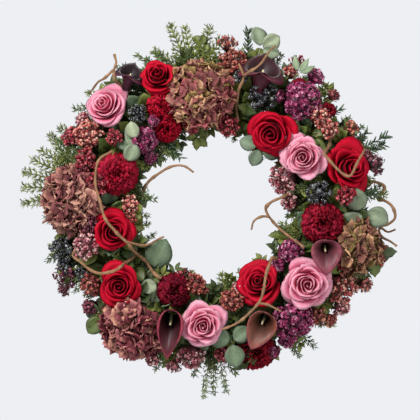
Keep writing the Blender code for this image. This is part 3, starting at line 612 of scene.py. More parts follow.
def callaHead(dial, inner, outer, tube):
    # a sheet rolled into a funnel: its section goes from a circle at the throat to a drop at the mouth, pointed at
    # the tip and broad where the edges pass each other; the lip curls back and its sides may draw together
    a = np.linspace(-1, 1, 49)[:, None]
    v = np.linspace(0, 1, 20)[None]
    angle = np.pi * (1 + dial["overlap"] * (1 - np.clip(v - 0.4, 0, 1))) * a
    side, across = np.cos(angle), np.sin(angle)
    flare = np.clip((v - 0.2) / 0.8, 0, 1)
    wide = flare**1.6
    drop = np.abs(np.sin(angle / 2)) ** dial["point"]
    narrow = 1 - dial["close"] * flare**2.2
    x = dial["throat"] * (0.6 + 0.7 * v) * side * (1 - wide) + wide * (dial["shift"] + dial["reach"] * side)
    y = dial["throat"] * (0.6 + 0.7 * v) * across * (1 - wide) + wide * dial["width"] * across * drop * narrow
    y = y * (1 + 0.1 * np.sign(a) * flare) + 0.04 * np.sin(5 * a + 1) * flare**2
    roll = flare**4 * (0.35 + 0.65 * np.abs(across))
    z = dial["length"] * v * (0.9 + 0.1 * side) - dial["lip"] * roll - 0.35 * flare**3 * np.clip(side, 0, 1) ** 4
    z = z + 0.04 * np.sin(9 * a) * flare**3
    p = np.stack([x, y, z - 0.55 * dial["length"]], axis=-1)
    uv = surfaceUV(a, v)
    streak = 1 + 0.14 * np.sin(37 * a + 2 * np.sin(11 * a))[..., None]
    # painted shade: the inside darkens to near black towards the throat; the streaks are the spathe's own veins
    depth = (0.06 + 0.94 * flare**1.5)[..., None] * streak
    # painted highlight: the lip's last stretch turns to the outer colour made half again as bright
    paintedHighlight = (np.clip((v - 0.86) / 0.14, 0, 1) ** 1.5 + 0 * a)[..., None]
    face = inner * depth * (1 - paintedHighlight) + 1.5 * outer * paintedHighlight
    # painted shade and painted highlight on the back too: darker towards the throat, lighter at the lip
    back = outer * (0.7 + 0.3 * depth + 0.9 * paintedHighlight)
    spathe = shellPart(p[:, ::-1], 0.03, uv[:, ::-1], face[:, ::-1], back[:, ::-1])
    t = np.linspace(0, 1, 9)[:, None]
    path = np.array([0, 0, -0.95]) + np.array([0.08, 0.0, 0.9]) * t + np.array([0.05, 0, 0]) * t**2
    spadix = tubePart(path, 0.06 * np.sin(np.pi * np.linspace(0.12, 0.95, 9)) ** 0.4, 8)
    return joinParts([tinted(spathe, 1.0), tinted(spadix, tube)])


# each calla: clock its tip points to, how far its mouth leans that way, how far its sides close, its size, how far
# it is drawn forward in millimetres, colours in and out
callas = {
    "calla_1": (20, 2.2, 0.1, 1.15, 5, paint(50, 18, 32), paint(88, 38, 58)),
    "calla_2": (12, 2.2, 0.1, 1.45, 8, paint(74, 26, 38), paint(98, 38, 54)),
    "calla_3": (180, 0.25, 0.0, 0.95, 10, paint(142, 66, 80), paint(116, 50, 62)),
    "calla_4": (188, 0.35, 0.56, 1.4, 10, paint(92, 18, 34), paint(128, 44, 60)),
    "calla_5": (206, 0.35, 0.2, 1.12, 2, paint(142, 80, 60), paint(126, 58, 66)),
}
# callas that face out from the ring with the tip at the back, so that the two rolled lobes show; rise is how far
# they stand out, in millimetres
turnedAway = {"calla_1": {"lip": 0.9, "length": 1.7, "rise": 11}, "calla_2": {"lip": 0.9, "length": 1.7, "rise": 0}}
callaSpots = []  # the mouths, which leaves keep clear of
for name, (tipClock, leans, close, size, drawn, inner, outer) in callas.items():
    head = headOf(name)
    tipWay = outward(tipClock)
    axis = unit(forward + leans * tipWay)
    dial = dict(callaDial, close=close)
    if name in turnedAway:
        tipWay = -forward
        dial = {**dial, **turnedAway[name]}
    bloom = callaHead(dial, inner, outer, paint(214, 200, 160))
    place = head["place"] - 0.25 * head["radius"] * tipWay + drawn * mm * forward
    place = place + dial.get("rise", 0) * mm * outward(tipClock)
    bloom = movePart(bloom, place, basis(axis, np.array(0.0), np.cross(axis, tipWay)), size * head["radius"])
    callaSpots += [place, place + 0.5 * size * head["radius"] * tipWay]
    foot = place - 1.1 * size * head["radius"] * axis
    low = head["base"] + 0.5 * mossR * head["axis"]
    path = smoothPath([low, (head["base"] + foot) / 2 + 4 * mm * forward, foot,
                       foot + 0.25 * head["radius"] * axis], 4 * mm)
    stalk = tinted(tubePart(path, 2.2 * mm, 8), paint(92, 74, 62))
    addPiece(name + "_spathe", joinParts([bloom, stalk]), skins["waxySpathe"], stands=[name], slot="calla")
print("callas made:", len(callas))


# a floret petal's colour factor at the heart, dark burgundy there as painted shade in the crevices, what it gains
# towards the rim, and its pale cream edge, as red, green, blue
floretDial = {"heart": np.array([0.42, 0.20, 0.26]), "gain": np.array([0.44, 0.54, 0.50]),
              "edge": np.array([1.75, 1.68, 1.42])}


def floretPetal():
    # a rounded petal along y from 0.05 to 1, waving along its edge and turned up at the rim
    u = np.linspace(-1, 1, 6)[:, None]
    v = np.linspace(0, 1, 5)[None]
    half = 0.08 + 0.62 * np.sin(0.5 * np.pi * v) * np.sqrt(np.clip(1.02 - v**6, 0, 1))
    z = 0.20 * v**2 + 0.12 * v**2 * np.sin(3.6 * u + 0.8) - 0.10 * u**2 * v
    p = np.stack([half * u, 0.05 + v * (1 - 0.14 * u**2), z], axis=-1)
    edge = np.maximum(np.abs(u) ** 3, v**3)[..., None]
    # painted shade: dark burgundy at the petal's heart, lightening towards the rim
    inside = floretDial["heart"] + floretDial["gain"] * v[..., None]
    shade = inside * (1 - edge) + floretDial["edge"] * edge
    return shellPart(p, 0.03, surfaceUV(u, v), shade)


def fourPetals(rng):
    # four petals set round a small heart, each turned a little on its own
    petal = floretPetal()
    parts = []
    for i in range(4):
        a = i * np.pi / 2 + rng.normal(0, 0.12)
        lift = rng.normal(0.15, 0.18)
        c, s, cl, sl = math.cos(a), math.sin(a), math.cos(lift), math.sin(lift)
        turn = np.array([[c, -s, 0], [s, c, 0], [0, 0, 1]]) @ np.array([[1, 0, 0], [0, cl, -sl], [0, sl, cl]])
        parts.append(movePart(petal, (0, 0, 0.02 * i), turn))
    heart = movePart(ballPart(5, 4), (0, 0, 0.06), size=0.1)
    return joinParts(parts + [heart])


hydrangeas = {
    "hydrangea_1": [paint(180, 144, 118), paint(152, 110, 98), paint(166, 126, 102), paint(130, 76, 78),
                    paint(138, 118, 76), paint(148, 80, 88)],
    "hydrangea_2": [paint(152, 106, 100), paint(128, 78, 80), paint(172, 132, 120), paint(98, 50, 56)],
    "hydrangea_3": [paint(160, 104, 106), paint(134, 72, 82), paint(186, 138, 124), paint(106, 48, 58)],
    "hydrangea_4": [paint(150, 114, 92), paint(124, 84, 74), paint(170, 134, 108), paint(112, 98, 58)],
}


# how many florets, how far they lean, their least and most radius in millimetres, how flat the dome is; then each
# layer's share of the radius, brightness and share of the florets; the lower layer's lower brightness is painted
# shade
hydrangeaDial = {"pack": 1.9, "lean": 0.46, "floret": (9.5, 15.0), "flat": 0.86,
                 "layers": ((1.0, 1.0, 1.0), (0.8, 0.4, 0.7))}


def hydrangeaHead(radius, dial, colours, rng):
    # florets over a dome in two layers, each leaning its own way, so that the crevices between them stay dark; the
    # lower layer is also darkened, painted shade in those crevices
    parts = []
    kinds = [fourPetals(rng) for _ in range(4)]
    squat = np.array([1, 1, dial["flat"]])
    for share, paintedLayerShade, number in dial["layers"]:
        count = int(number * dial["pack"] * (radius / (11 * mm)) ** 2)
        d = dome(count * 4, -0.15, rng, 0.05)
        for k, kind in enumerate(kinds):
            mine = d[k::4]
            tilt = unit(mine + rng.normal(0, dial["lean"], mine.shape))
            places = share * (radius - 4 * mm) * mine * squat + rng.normal(0, 0.9 * mm, mine.shape)
            turns = basis(tilt, rng.uniform(0, 6.28, len(mine)))
            # painted shade: each layer's colours times its brightness
            tints = paintedLayerShade * pick(colours, len(mine), rng)
            parts.append(scatter(kind, places, turns, rng.uniform(*dial["floret"], len(mine)) * mm, tints))
    return joinParts(parts)


def stalksOf(radius, count, rng, tint, thick=0.45 * mm):
    # thin stalks from the foot of the head out to its dome
    d = dome(count, 0.0, rng, 0.08)
    stick = tubePart(np.linspace([0, 0, 0], [0, 1, 0], 3), 1.0, 4)
    foot = np.array([0, 0, -0.6 * radius])
    run = 0.86 * radius * d - foot
    wide = np.full(count, thick)
    stretch = np.stack([wide, np.linalg.norm(run, axis=1), wide], axis=-1)
    turns = leaning(run, np.array([0.2, 0.1, 1.0])) * stretch[:, None]
    return scatter(stick, np.tile(foot, (count, 1)), turns, 1.0, tint)


for count, (name, colours) in enumerate(hydrangeas.items()):
    rng = np.random.default_rng(seeds["hydrangeas"] + count)
    head = headOf(name)
    bloom = hydrangeaHead(head["radius"], hydrangeaDial, colours, rng)
    bloom = joinParts([bloom, stalksOf(head["radius"], 40, rng, paint(96, 104, 62))])
    bloom = movePart(bloom, head["place"] - 0.25 * head["radius"] * head["axis"], basis(head["axis"]))
    addPiece(name + "_florets", joinParts([bloom, stemTo(head, stemGreen, -0.6 * head["radius"], 2 * mm)]),
             skins["paperyFloret"], stands=[name], slot="hydrangea")
print("hydrangeas made:", len(hydrangeas))


def starPart(points=5, cup=0.45, inset=0.45):
    # a small open star by angle and radius: the radius dips between points and the rim turns up
    a = np.linspace(0, 2 * np.pi, 2 * points, endpoint=False)[None]
    v = np.array([0.0, 0.55, 1.0])[:, None]
    r = v * (1 - inset * v * (1 - np.cos(points * a)) / 2)
    p = np.stack([r * np.cos(a), r * np.sin(a), cup * v**2 + 0 * a], axis=-1)
    # painted shade: darker towards the middle of the cup, and the back at 0.7 of the front
    shade = (0.45 + 0.75 * v + 0 * a)[..., None]
    back = p - [0, 0, 0.3] * (1 - v**2)[..., None]
    front = gridPart(p, wrap=True, shade=shade)
    back = gridPart(back, wrap=True, shade=0.7 * shade)
    back["q"] = back["q"][:, ::-1]
    return weldPart(joinParts([front, back]))


bud = ballPart(6, 5, 1.15)
berry = ballPart(10, 7, 1.05)
star = starPart()
coral = [paint(204, 98, 88), paint(222, 146, 128), paint(174, 58, 62), paint(236, 188, 168)]
deepRed = [paint(150, 20, 40), paint(178, 48, 64), paint(116, 12, 30), paint(206, 104, 108)]
dustyPink = [paint(192, 108, 118), paint(214, 150, 152), paint(154, 62, 78), paint(232, 190, 184)]
rust = [paint(180, 88, 74), paint(150, 58, 54), paint(204, 132, 108), paint(126, 44, 44)]
maroon = [paint(104, 32, 54), paint(132, 56, 78), paint(80, 22, 42), paint(166, 98, 114)]
# each kind of cluster: the element, its radius in millimetres, how many, how deep they stand, the number of tufts,
# how far elements are drawn into them, the size of the dark core that is painted shade inside the head, colours,
# stalk colour, finish
clusterKinds = {
    "statice": {"part": star, "size": 2.1, "pack": 3.0, "depth": 0.3, "groups": 24, "gather": 0.24, "core": 0.6,
                "colours": [paint(166, 38, 98), paint(200, 80, 136), paint(134, 24, 78), paint(226, 148, 180)],
                "stalk": paint(78, 52, 58), "skin": "budSkin"},
    "loose": {"part": star, "size": 2.3, "pack": 1.1, "depth": 0.5, "groups": 13, "gather": 0.55, "core": 0.3,
              "colours": maroon, "stalk": paint(90, 56, 52), "skin": "budSkin"},
    "pepper": {"part": bud, "size": 1.55, "pack": 1.15, "depth": 0.36, "groups": 20, "gather": 0.4, "core": 0.58,
               "colours": [paint(186, 84, 82), paint(206, 130, 122), paint(150, 44, 52), paint(224, 176, 158)],
               "stalk": paint(122, 60, 56), "skin": "budSkin"},
    "viburnum": {"part": berry, "size": 2.3, "pack": 0.8, "depth": 0.3, "groups": 14, "gather": 0.5, "core": 0.5,
                 "colours": [paint(34, 38, 46), paint(52, 56, 62), paint(22, 24, 34), paint(92, 98, 96)],
                 "stalk": paint(84, 82, 62), "skin": "berrySkin"},
}


def clusterHead(radius, dial, rng):
    # elements over a dome, drawn towards the nearest of a few groups so that the head breaks into tufts
    size = dial["size"] * mm
    count = int(dial["pack"] * 2.2 * (radius / size) ** 2 * 0.55)
    d = dome(count, -0.2, rng, 0.06)
    tufts = dome(dial["groups"], -0.1, rng, 0.1)
    near = (d @ tufts.T).argmax(1)
    close = (d * tufts[near]).sum(1)
    d = unit(d + dial["gather"] * (tufts[near] - d))
    depth = rng.uniform(0, 1, count) ** 2.2
    reach = (radius - size) * (1 - dial["depth"] * depth) * (0.86 + 0.14 * np.clip((close - 0.9) / 0.1, 0, 1))
    reach = reach * rng.uniform(0.78, 1.08, len(tufts))[near]
    turns = basis(unit(d + rng.normal(0, 0.3, d.shape)), rng.uniform(0, 6.28, count))
    # painted shade: elements set deeper into the head are darker
    tints = pick(dial["colours"], count, rng) * (1 - 0.6 * depth)[:, None]
    tufted = scatter(dial["part"], reach[:, None] * d, turns, size * rng.uniform(0.75, 1.2, count), tints)
    # painted shade: a dark ball inside the head, so the gaps between the tufts look shaded
    core = movePart(ballPart(14, 9, 0.9), (0, 0, -0.1 * radius), size=dial["core"] * radius)
    core = tinted(core, 0.3 * dial["colours"][0])
    return joinParts([tufted, core, stalksOf(radius, 2 * dial["groups"], rng, dial["stalk"])])


def addCluster(name, head, kind, rng, colours=None, **joins):
    # a head of that kind, set a fifth of its radius back along its axis, on a stem of its own
    dial = dict(clusterKinds[kind], **({"colours": colours} if colours else {}))
    bloom = clusterHead(head["radius"], dial, rng)
    bloom = movePart(bloom, head["place"] - 0.2 * head["radius"] * head["axis"], basis(head["axis"]))
    bloom = joinParts([bloom, stemTo(head, dial["stalk"], -0.5 * head["radius"], 1.2 * mm)])
    addPiece(name, bloom, skins[dial["skin"]], **joins)


ownClusters = {
    "statice_1": ("statice", None), "statice_2": ("statice", None), "statice_3": ("statice", None),
    "statice_4": ("loose", maroon), "pepper_berry_1": ("pepper", coral), "pepper_berry_2": ("pepper", dustyPink),
    "pepper_berry_3": ("pepper", rust), "pepper_berry_4": ("pepper", coral), "viburnum_1": ("viburnum", None),
    "viburnum_2": ("viburnum", None),
}
# smaller clusters between the heads: kind, clock, offset and radius in millimetres, colours
smallClusters = [
    ("pepper", 280.5, 7, 17, deepRed), ("pepper", 253.5, 23, 20, dustyPink), ("pepper", 237.7, 38, 17, rust),
    ("pepper", 188.8, 46, 21, dustyPink), ("pepper", 272, -38, 14, coral), ("pepper", 10, -38, 17, deepRed),
    ("pepper", 85.2, 21, 14, deepRed), ("pepper", 168.7, -24, 17, rust), ("pepper", 193.3, -41, 18, rust),
    ("pepper", 49.2, 31, 17, coral), ("statice", 119.3, -32, 18, None), ("loose", 75.2, 66, 17, maroon),
    ("viburnum", 321.2, 7, 14, None), ("viburnum", 82.4, -11, 18, None), ("pepper", 345, -38, 12, deepRed),
    ("pepper", 137, 44, 15, rust), ("pepper", 262, 12, 13, maroon), ("pepper", 30, 52, 12, coral),
    ("statice", 133, -34, 12, None), ("pepper", 176, 40, 14, deepRed), ("viburnum", 243, 40, 12, None),
    ("pepper", 222, 22, 13, dustyPink), ("pepper", 60, 55, 13, rust), ("viburnum", 12, 22, 12, None),
    ("pepper", 305, 8, 12, deepRed), ("statice", 344, 22, 10, None), ("pepper", 113, 34, 12, deepRed),
    ("pepper", 128, 60, 13, dustyPink), ("pepper", 134, 60, 11, rust), ("pepper", 72, 58, 12, maroon),
    ("pepper", 296, 56, 14, deepRed), ("pepper", 304, 54, 12, dustyPink), ("pepper", 231, 56, 13, maroon),
    ("viburnum", 248, 58, 14, None), ("pepper", 202, 62, 11, dustyPink), ("pepper", 262, -36, 11, rust),
    ("pepper", 290, 26, 16, deepRed), ("pepper", 283, 26, 13, maroon), ("statice", 318, -20, 10, None),
    ("statice", 308, -42, 11, None), ("statice", 38, 64, 13, None), ("loose", 47, 62, 11, deepRed),
    ("loose", 5, 62, 16, coral), ("statice", 151, 46, 14, None), ("statice", 158, 52, 12, None),
    ("loose", 203, -48, 15, deepRed), ("loose", 217, 66, 11, rust), ("pepper", 86, -46, 14, dustyPink),
    ("loose", 107, 74, 12, coral), ("loose", 117, 70, 13, coral), ("pepper", 56, 30, 14, coral),
    ("loose", 241, 70, 11, maroon), ("pepper", 163, -36, 11, dustyPink), ("loose", 271, -48, 10, coral),
    ("statice", 325, -12, 9, None), ("loose", 30, 66, 12, deepRed), ("loose", 194, 62, 12, dustyPink),
]
for count, (name, (kind, colours)) in enumerate(ownClusters.items()):
    rng = np.random.default_rng(seeds["clusters"] + count)
    addCluster(name + "_cluster", headOf(name), kind, rng, colours, stands=[name],
               slot={"pepper": "pepper_berry", "loose": "statice"}.get(kind, kind))
for count, (kind, clock, offset, radius, colours) in enumerate(smallClusters):
    head = headAt(clock, offset * mm, radius * mm)
    rng = np.random.default_rng(seeds["smallClusters"] + count)
    addCluster(f"small_{kind}_{count + 1}", head, kind, rng, colours)
print("berry and floret clusters made:", len(ownClusters) + len(smallClusters))


roundLeaf = leafPart(rows=10, wide=0.44, belly=0.52, fold=0.2, droop=0.16, sharp=0.66, rib=1.35)
longLeaf = leafPart(rows=8, wide=0.22, belly=0.42, fold=0.08, droop=0.2)
pointedLeaf = leafPart(rows=8, wide=0.33, belly=0.38, fold=0.14, droop=0.25)
toothedLeaf = leafPart(rows=19, wide=0.36, belly=0.4, fold=0.12, droop=0.22, teeth=0.12)
sage = [paint(122, 136, 108), paint(92, 110, 82), paint(142, 152, 122)]
olderSage = [paint(98, 116, 82), paint(82, 100, 72)]
deepGreen = [paint(74, 88, 38), paint(94, 106, 46), paint(58, 72, 36), paint(116, 124, 58)]
# each sprig of leaves: clock, offset, level and leaf length in millimetres, leaf kind, colours, clock of every leaf
leafSprigs = {
    "eucalyptus_1": (225, -30, 44, (42, 27, 20), roundLeaf, olderSage, (27, 158, 75)),
    "eucalyptus_2": (91.9, 43, 60, 33, roundLeaf, sage, (330, 110, 225)),
    "sage_leaves_1": (310.4, -15, 78, 22, roundLeaf, sage, (345, 200)),
    "sage_leaves_2": (16.5, 63, 44, 23, roundLeaf, sage, (350, 60, 110)),
    "sage_leaves_3": (32.2, 52, 66, 21, longLeaf, [paint(138, 156, 122)], (40, 70, 350)),
    "sage_leaves_4": (214, -22, 60, 20, roundLeaf, sage, (200, 268)),
    "sage_leaves_5": (172.2, 26, 70, 26, roundLeaf, sage, (170, 50, 290)),
    "sage_leaves_6": (106, 62, 52, 26, toothedLeaf, deepGreen, (90, 170)),
    "sage_leaves_7": (225.1, 50, 50, 26, roundLeaf, deepGreen, (225, 300)),
    "sage_leaves_8": (37.5, -47, 64, 23, roundLeaf, [paint(98, 114, 90), paint(76, 92, 68)], (200, 290, 110)),
    "sage_leaves_9": (305, -22, 76, 26, longLeaf, sage, (300, 340)),
}


def addSprig(name, row, rng, **joins):
    # leaves from one heart, each out along its own clock and a little forward, on a stalk that curves up from the moss
    clock, offset, level, size, leaf, colours, ways = row
    heart = at(clock, offset * mm, level * mm)
    ways = np.array(ways, float)
    along = unit(outward(ways) + rng.normal(0.1, 0.12, (len(ways), 1)) * forward)
    facing = forward + rng.normal(0, 0.22, along.shape)
    sizes = np.array(size) * mm * rng.uniform(0.9, 1.1, len(ways))
    turns = leaning(along, facing)
    leaves = scatter(leaf, heart + 3 * mm * along, turns, sizes, pick(colours, len(ways), rng, 0.06))
    roll = 60 * np.clip(offset / 40, -1, 1)
    low = at(clock, 0, mossLevel) + 0.6 * mossR * axisAt(clock, roll)
    path = smoothPath([low, low + 0.9 * mossR * axisAt(clock, roll), heart - 2 * mm * forward], 4 * mm)
    stalk = tinted(tubePart(path, 1.1 * mm, 6), paint(120, 128, 92))
    addPiece(name, joinParts([leaves, stalk]), skins["sageLeaf"], **joins)


for count, (name, row) in enumerate(leafSprigs.items()):
    own = {"stands": [name], "slot": "eucalyptus"} if name.startswith("euc") else {}
    addSprig(name + "_leaves" if own else name, row, np.random.default_rng(seeds["sprigs"] + count), **own)
print("leaf sprigs made:", len(leafSprigs))


def frond(path, dial, rng):
    # a stem whose side twigs shorten towards its tip; needles lean forward off the twigs on both sides
    path = smoothPath(path, 3 * mm)
    count = len(path)
    s = np.linspace(0, 1, count)
    along = unit(np.gradient(path, axis=0))
    side = unit(np.cross(along, forward + 0.2 * rng.normal(size=3)))
    stations = np.arange(1, count - 1, 2) if dial["twigs"] else np.arange(0)
    starts, runs = [path[:-1]], [np.diff(path, axis=0)]
    tubes = [tubePart(path, dial["stem"] * mm * (1 - 0.6 * s), 5)]
    for k, hand in [(k, hand) for k in stations for hand in (-1, 1)]:
        length = dial["twigs"] * mm * (1 - 0.75 * s[k]) * rng.uniform(0.75, 1.15)
        way = unit(0.8 * along[k] + hand * side[k] + 0.25 * rng.normal() * forward)
        twig = path[k] + np.linspace(0, 1, 5)[:, None] * length * way
        twig = twig + (np.linspace(0, 1, 5) ** 2)[:, None] * length * 0.2 * along[k]
        tubes.append(tubePart(twig, 0.5 * mm, 3))
        starts.append(twig[:-1])
        runs.append(np.diff(twig, axis=0))
    starts, runs = np.concatenate(starts), np.concatenate(runs)
    number = np.maximum(1, (np.linalg.norm(runs, axis=1) / (dial["gap"] * mm)).round()).astype(int)
    which = np.repeat(np.arange(len(starts)), number)
    share = rng.uniform(0, 1, len(which))[:, None]
    way = unit(runs[which])
    across = unit(np.cross(way, forward + 0.7 * rng.normal(size=way.shape)))
    across = across * np.where(np.arange(len(which)) % 2, 1, -1)[:, None]
    lean = unit(way + dial["spread"] * across)
    turns = leaning(lean, forward)
    sizes = dial["needle"] * mm * rng.uniform(0.7, 1.15, len(which))
    tints = pick(dial["colours"], len(which), rng)
    needles = scatter(needle, starts[which] + share * runs[which], turns, sizes, tints)
    return joinParts([tinted(joinParts(tubes), dial["bark"]), needles])


needle = tubePart([[0, 0, 0], [0, 0.5, 0.02], [0, 1, 0.1]], np.array([0.1, 0.14, 0.05]), 3)
limeNeedles = [paint(134, 148, 72), paint(158, 168, 90), paint(98, 116, 54), paint(76, 96, 48)]
greenNeedles = [paint(86, 112, 62), paint(112, 136, 78), paint(66, 92, 54), paint(146, 158, 104)]
greyNeedles = [paint(76, 96, 72), paint(60, 82, 62), paint(104, 122, 92)]
frondKinds = {
    "feathery": {"twigs": 17, "stem": 0.9, "gap": 0.9, "needle": 4.4, "spread": 0.6, "colours": limeNeedles,
                 "bark": paint(112, 104, 60)},
    "green": {"twigs": 13, "stem": 0.8, "gap": 1.0, "needle": 4.4, "spread": 0.7, "colours": greenNeedles,
              "bark": paint(90, 82, 56)},
    "thin": {"twigs": 0, "stem": 0.8, "gap": 1.0, "needle": 8.5, "spread": 0.9, "colours": greyNeedles,
             "bark": paint(82, 70, 56)},
    "airy": {"twigs": 11, "stem": 0.8, "gap": 2.0, "needle": 4.6, "spread": 1.0, "colours": greenNeedles,
             "bark": paint(104, 98, 64)},
}


def sprayPath(clock, offset, tipClock, tipOffset, level, tipLevel):
    # from inside the moss over its shoulder to the tip, bending up in between
    start = at(clock, 0.5 * mossR * np.sign(tipOffset), mossLevel)
    middle = at(0.6 * clock + 0.4 * tipClock, offset, level)
    return [start, middle, at(tipClock, tipOffset, tipLevel)]


# each spray stands for one node: frond kind, root clock, tips (clock, offset in millimetres)
sprays = {
    "conifer_spray_1": ("feathery", 279, [(266, 66), (271, 94), (276, 98), (280.5, 100), (285, 92), (288.5, 84),
                                          (294, 80)]),
    "conifer_spray_2": ("feathery", -8, [(-21, 66), (-13.5, 93), (-9, 84), (-1, 84), (3, 68)]),
    "conifer_spray_3": ("airy", 180, [(171, 60), (176, 88), (180, 92), (183, 96), (187, 70)]),
    "conifer_spray_4": ("thin", 71, [(64, 72), (67.5, 90), (70, 84), (77, 68)]),
}
for count, (name, (kind, root, tips)) in enumerate(sprays.items()):
    rng = np.random.default_rng(seeds["sprays"] + count)
    parts = []
    for clock, offset in tips:
        path = sprayPath(root, 0.036, clock, offset * mm, 0.034, rng.uniform(0.026, 0.05))
        parts.append(frond(path, frondKinds[kind], rng))
    addPiece(name + "_fronds", joinParts(parts), skins["needle"], stands=[name], slot="conifer_spray")

# single fronds that reach into the middle and past the edge: kind, root clock, tip clock, then the tip's offset and
# level in millimetres
reaching = [("airy", 316, 320, -58, 60), ("thin", 321, 326, -66, 56), ("green", 284, 277, -68, 60),
            ("green", 318, 305, 70, 34), ("feathery", 300, 297, 74, 36), ("green", 255, 252, 76, 34),
            ("feathery", 206, 209, 70, 34), ("airy", 197, 200, 74, 40), ("green", 147, 144, 74, 38),
            ("green", 152, 150, 72, 32), ("feathery", 40, 44, 66, 44), ("green", 130, 128, 70, 36),
            ("thin", 14, 11, 82, 40), ("green", 22, 24, 66, 34), ("feathery", 85, 86, 74, 44),
            ("feathery", 291, 287, 64, 48), ("feathery", 298, 293, 68, 44)]
parts = []
for count, (kind, root, clock, offset, level) in enumerate(reaching):
    rng = np.random.default_rng(seeds["reaching"] + count)
    path = sprayPath(root, 0.6 * offset * mm, clock, offset * mm, (0.6 * level + 12) * mm, level * mm)
    parts.append(frond(path, frondKinds[kind], rng))
addPiece("reaching_fronds", joinParts(parts), skins["needle"])
# how many fronds at each edge, and between which offsets in millimetres their tips lie
fillDial = {"outer": 84, "inner": 34, "outerTip": (46, 73), "innerTip": (-60, -40)}


def addFill(dial):
    # short fronds all round the outer and inner edge, a few millimetres apart, kinds picked at random
    rng = np.random.default_rng(seeds["fill"])
    parts = []
    for side, count in (("outer", dial["outer"]), ("inner", dial["inner"])):
        low, high = dial[side + "Tip"]
        for clock in (np.arange(count) + rng.uniform(-0.35, 0.35, count)) * 360 / count:
            tip = rng.uniform(low, high) * mm
            kind = ("green", "airy", "feathery", "green", "thin")[rng.integers(5)]
            level = rng.uniform(0.02, 0.055)
            path = sprayPath(clock, 0.55 * tip, clock + rng.normal(0, 4), tip, 0.6 * level + 0.02, level)
            parts.append(frond(path, dict(frondKinds[kind], twigs=frondKinds[kind]["twigs"] * 0.7), rng))
    half = len(parts) // 2
    addPiece("edge_fronds_1", joinParts(parts[:half]), skins["needle"])
    addPiece("edge_fronds_2", joinParts(parts[half:]), skins["needle"])


addFill(fillDial)
print("sprays made")


coverDial = {"leaves": 230, "length": (15, 27)}  # leaves of each of three kinds, shortest and longest in millimetres


def addCover(dial):
    # dark leaves all over the front of the moss, each from its surface, leaning along the ring or outward
    rng = np.random.default_rng(seeds["cover"])
    count = dial["leaves"]
    for number, leaf in enumerate((pointedLeaf, toothedLeaf, roundLeaf)):
        clock = rng.uniform(0, 360, count)
        roll = rng.uniform(-100, 100, count)
        out = axisAt(clock, roll)
        along = np.cross(out, outward(clock + 90))
        ring = outward(clock + 90) * rng.choice([-1, 1], count)[:, None]
        lean = out * rng.uniform(0.5, 1.6, (count, 1)) + ring * rng.normal(0, 0.8, (count, 1))
        lean = unit(lean + 0.3 * along)
        places = at(clock, 0, mossLevel) + (mossR - 1.5 * mm) * out
        sizes = rng.uniform(*dial["length"], count) * mm
        colours = [deepGreen, deepGreen + limeNeedles[2:], deepGreen + sage[1:2]][number]
        leaves = scatter(leaf, places, leaning(lean, out + 1.2 * forward), sizes, pick(colours, count, rng, 0.18))
        addPiece(f"cover_leaves_{number + 1}", leaves, skins["darkLeaf"])


addCover(coverDial)


# each run of leafy twigs: how many, then the least and most offset and level of their tips in millimetres, seed
leafyDials = {
    "leafy_twigs_1": {"count": 44, "tips": (38, 62), "level": (24, 50), "seed": 280},
    "leafy_twigs_2": {"count": 34, "tips": (20, 42), "level": (40, 58), "seed": 281},
    "leafy_twigs_3": {"count": 34, "tips": (-54, -34), "level": (30, 56), "seed": 282},
}
callaRoom = 20 * mm  # leaves stay this far from a calla's mouth


def clearOfCallas(places):
    # true for each place further than the room from every calla's mouth
    gaps = np.linalg.norm(places[:, None] - np.array(callaSpots)[None], axis=2)
    return gaps.min(axis=1) > callaRoom


def addLeafyTwigs(name, dial):
    # short twigs from the moss to the tips, all round the ring, with leaves on alternate sides and one at the end
    rng = np.random.default_rng(dial["seed"])
    count = dial["count"]
    parts = []
    for clock in (np.arange(count) + rng.uniform(-0.4, 0.4, count)) * 360 / count:
        tip = rng.uniform(*dial["tips"]) * mm
        end = rng.uniform(*dial["level"]) * mm
        route = sprayPath(clock, 0.6 * tip, clock + rng.normal(0, 5), tip, 0.5 * end + 14 * mm, end)
        path = smoothPath(route, 4 * mm)
        parts.append(tinted(tubePart(path, 0.9 * mm * np.linspace(1, 0.5, len(path)), 5), stemGreen))
        k = np.arange(len(path) // 3, len(path))
        k = np.append(k, len(path) - 1)
        along = unit(np.gradient(path, axis=0))[k]
        hand = np.where(np.arange(len(k)) % 2, 1.0, -1.0)[:, None]
        hand[-1] = 0
        side = np.cross(along, forward)
        lean = unit(0.7 * along + hand * side + rng.normal(0.1, 0.2, (len(k), 1)) * forward)
        sizes = rng.uniform(11, 18) * mm * rng.uniform(0.8, 1.1, len(k))
        leaf = (pointedLeaf, pointedLeaf, roundLeaf, longLeaf, toothedLeaf)[rng.integers(5)]
        colours = pick([deepGreen[rng.integers(4)]], len(k), rng, 0.12)
        turns = leaning(lean, forward + rng.normal(0, 0.35, lean.shape))
        keep = clearOfCallas(path[k] + 0.5 * sizes[:, None] * lean)
        if keep.any():
            parts.append(scatter(leaf, path[k][keep], turns[keep], sizes[keep], colours[keep]))
    addPiece(name, joinParts(parts), skins["darkLeaf"])


for name, dial in leafyDials.items():
    addLeafyTwigs(name, dial)
print("cover leaves and leafy twigs made")


# how lumpy, how many loose strands and how long in millimetres, flat back's level in millimetres, and how many
# degrees of clock either side of the top have no strands behind, where the bail swings
mossDial = {"lump": 0.05, "strands": 2600, "strandLength": 7, "back": 4.9, "bailGap": 10,
            "colours": [paint(94, 102, 52), paint(76, 86, 42), paint(112, 110, 60), paint(88, 74, 46)]}


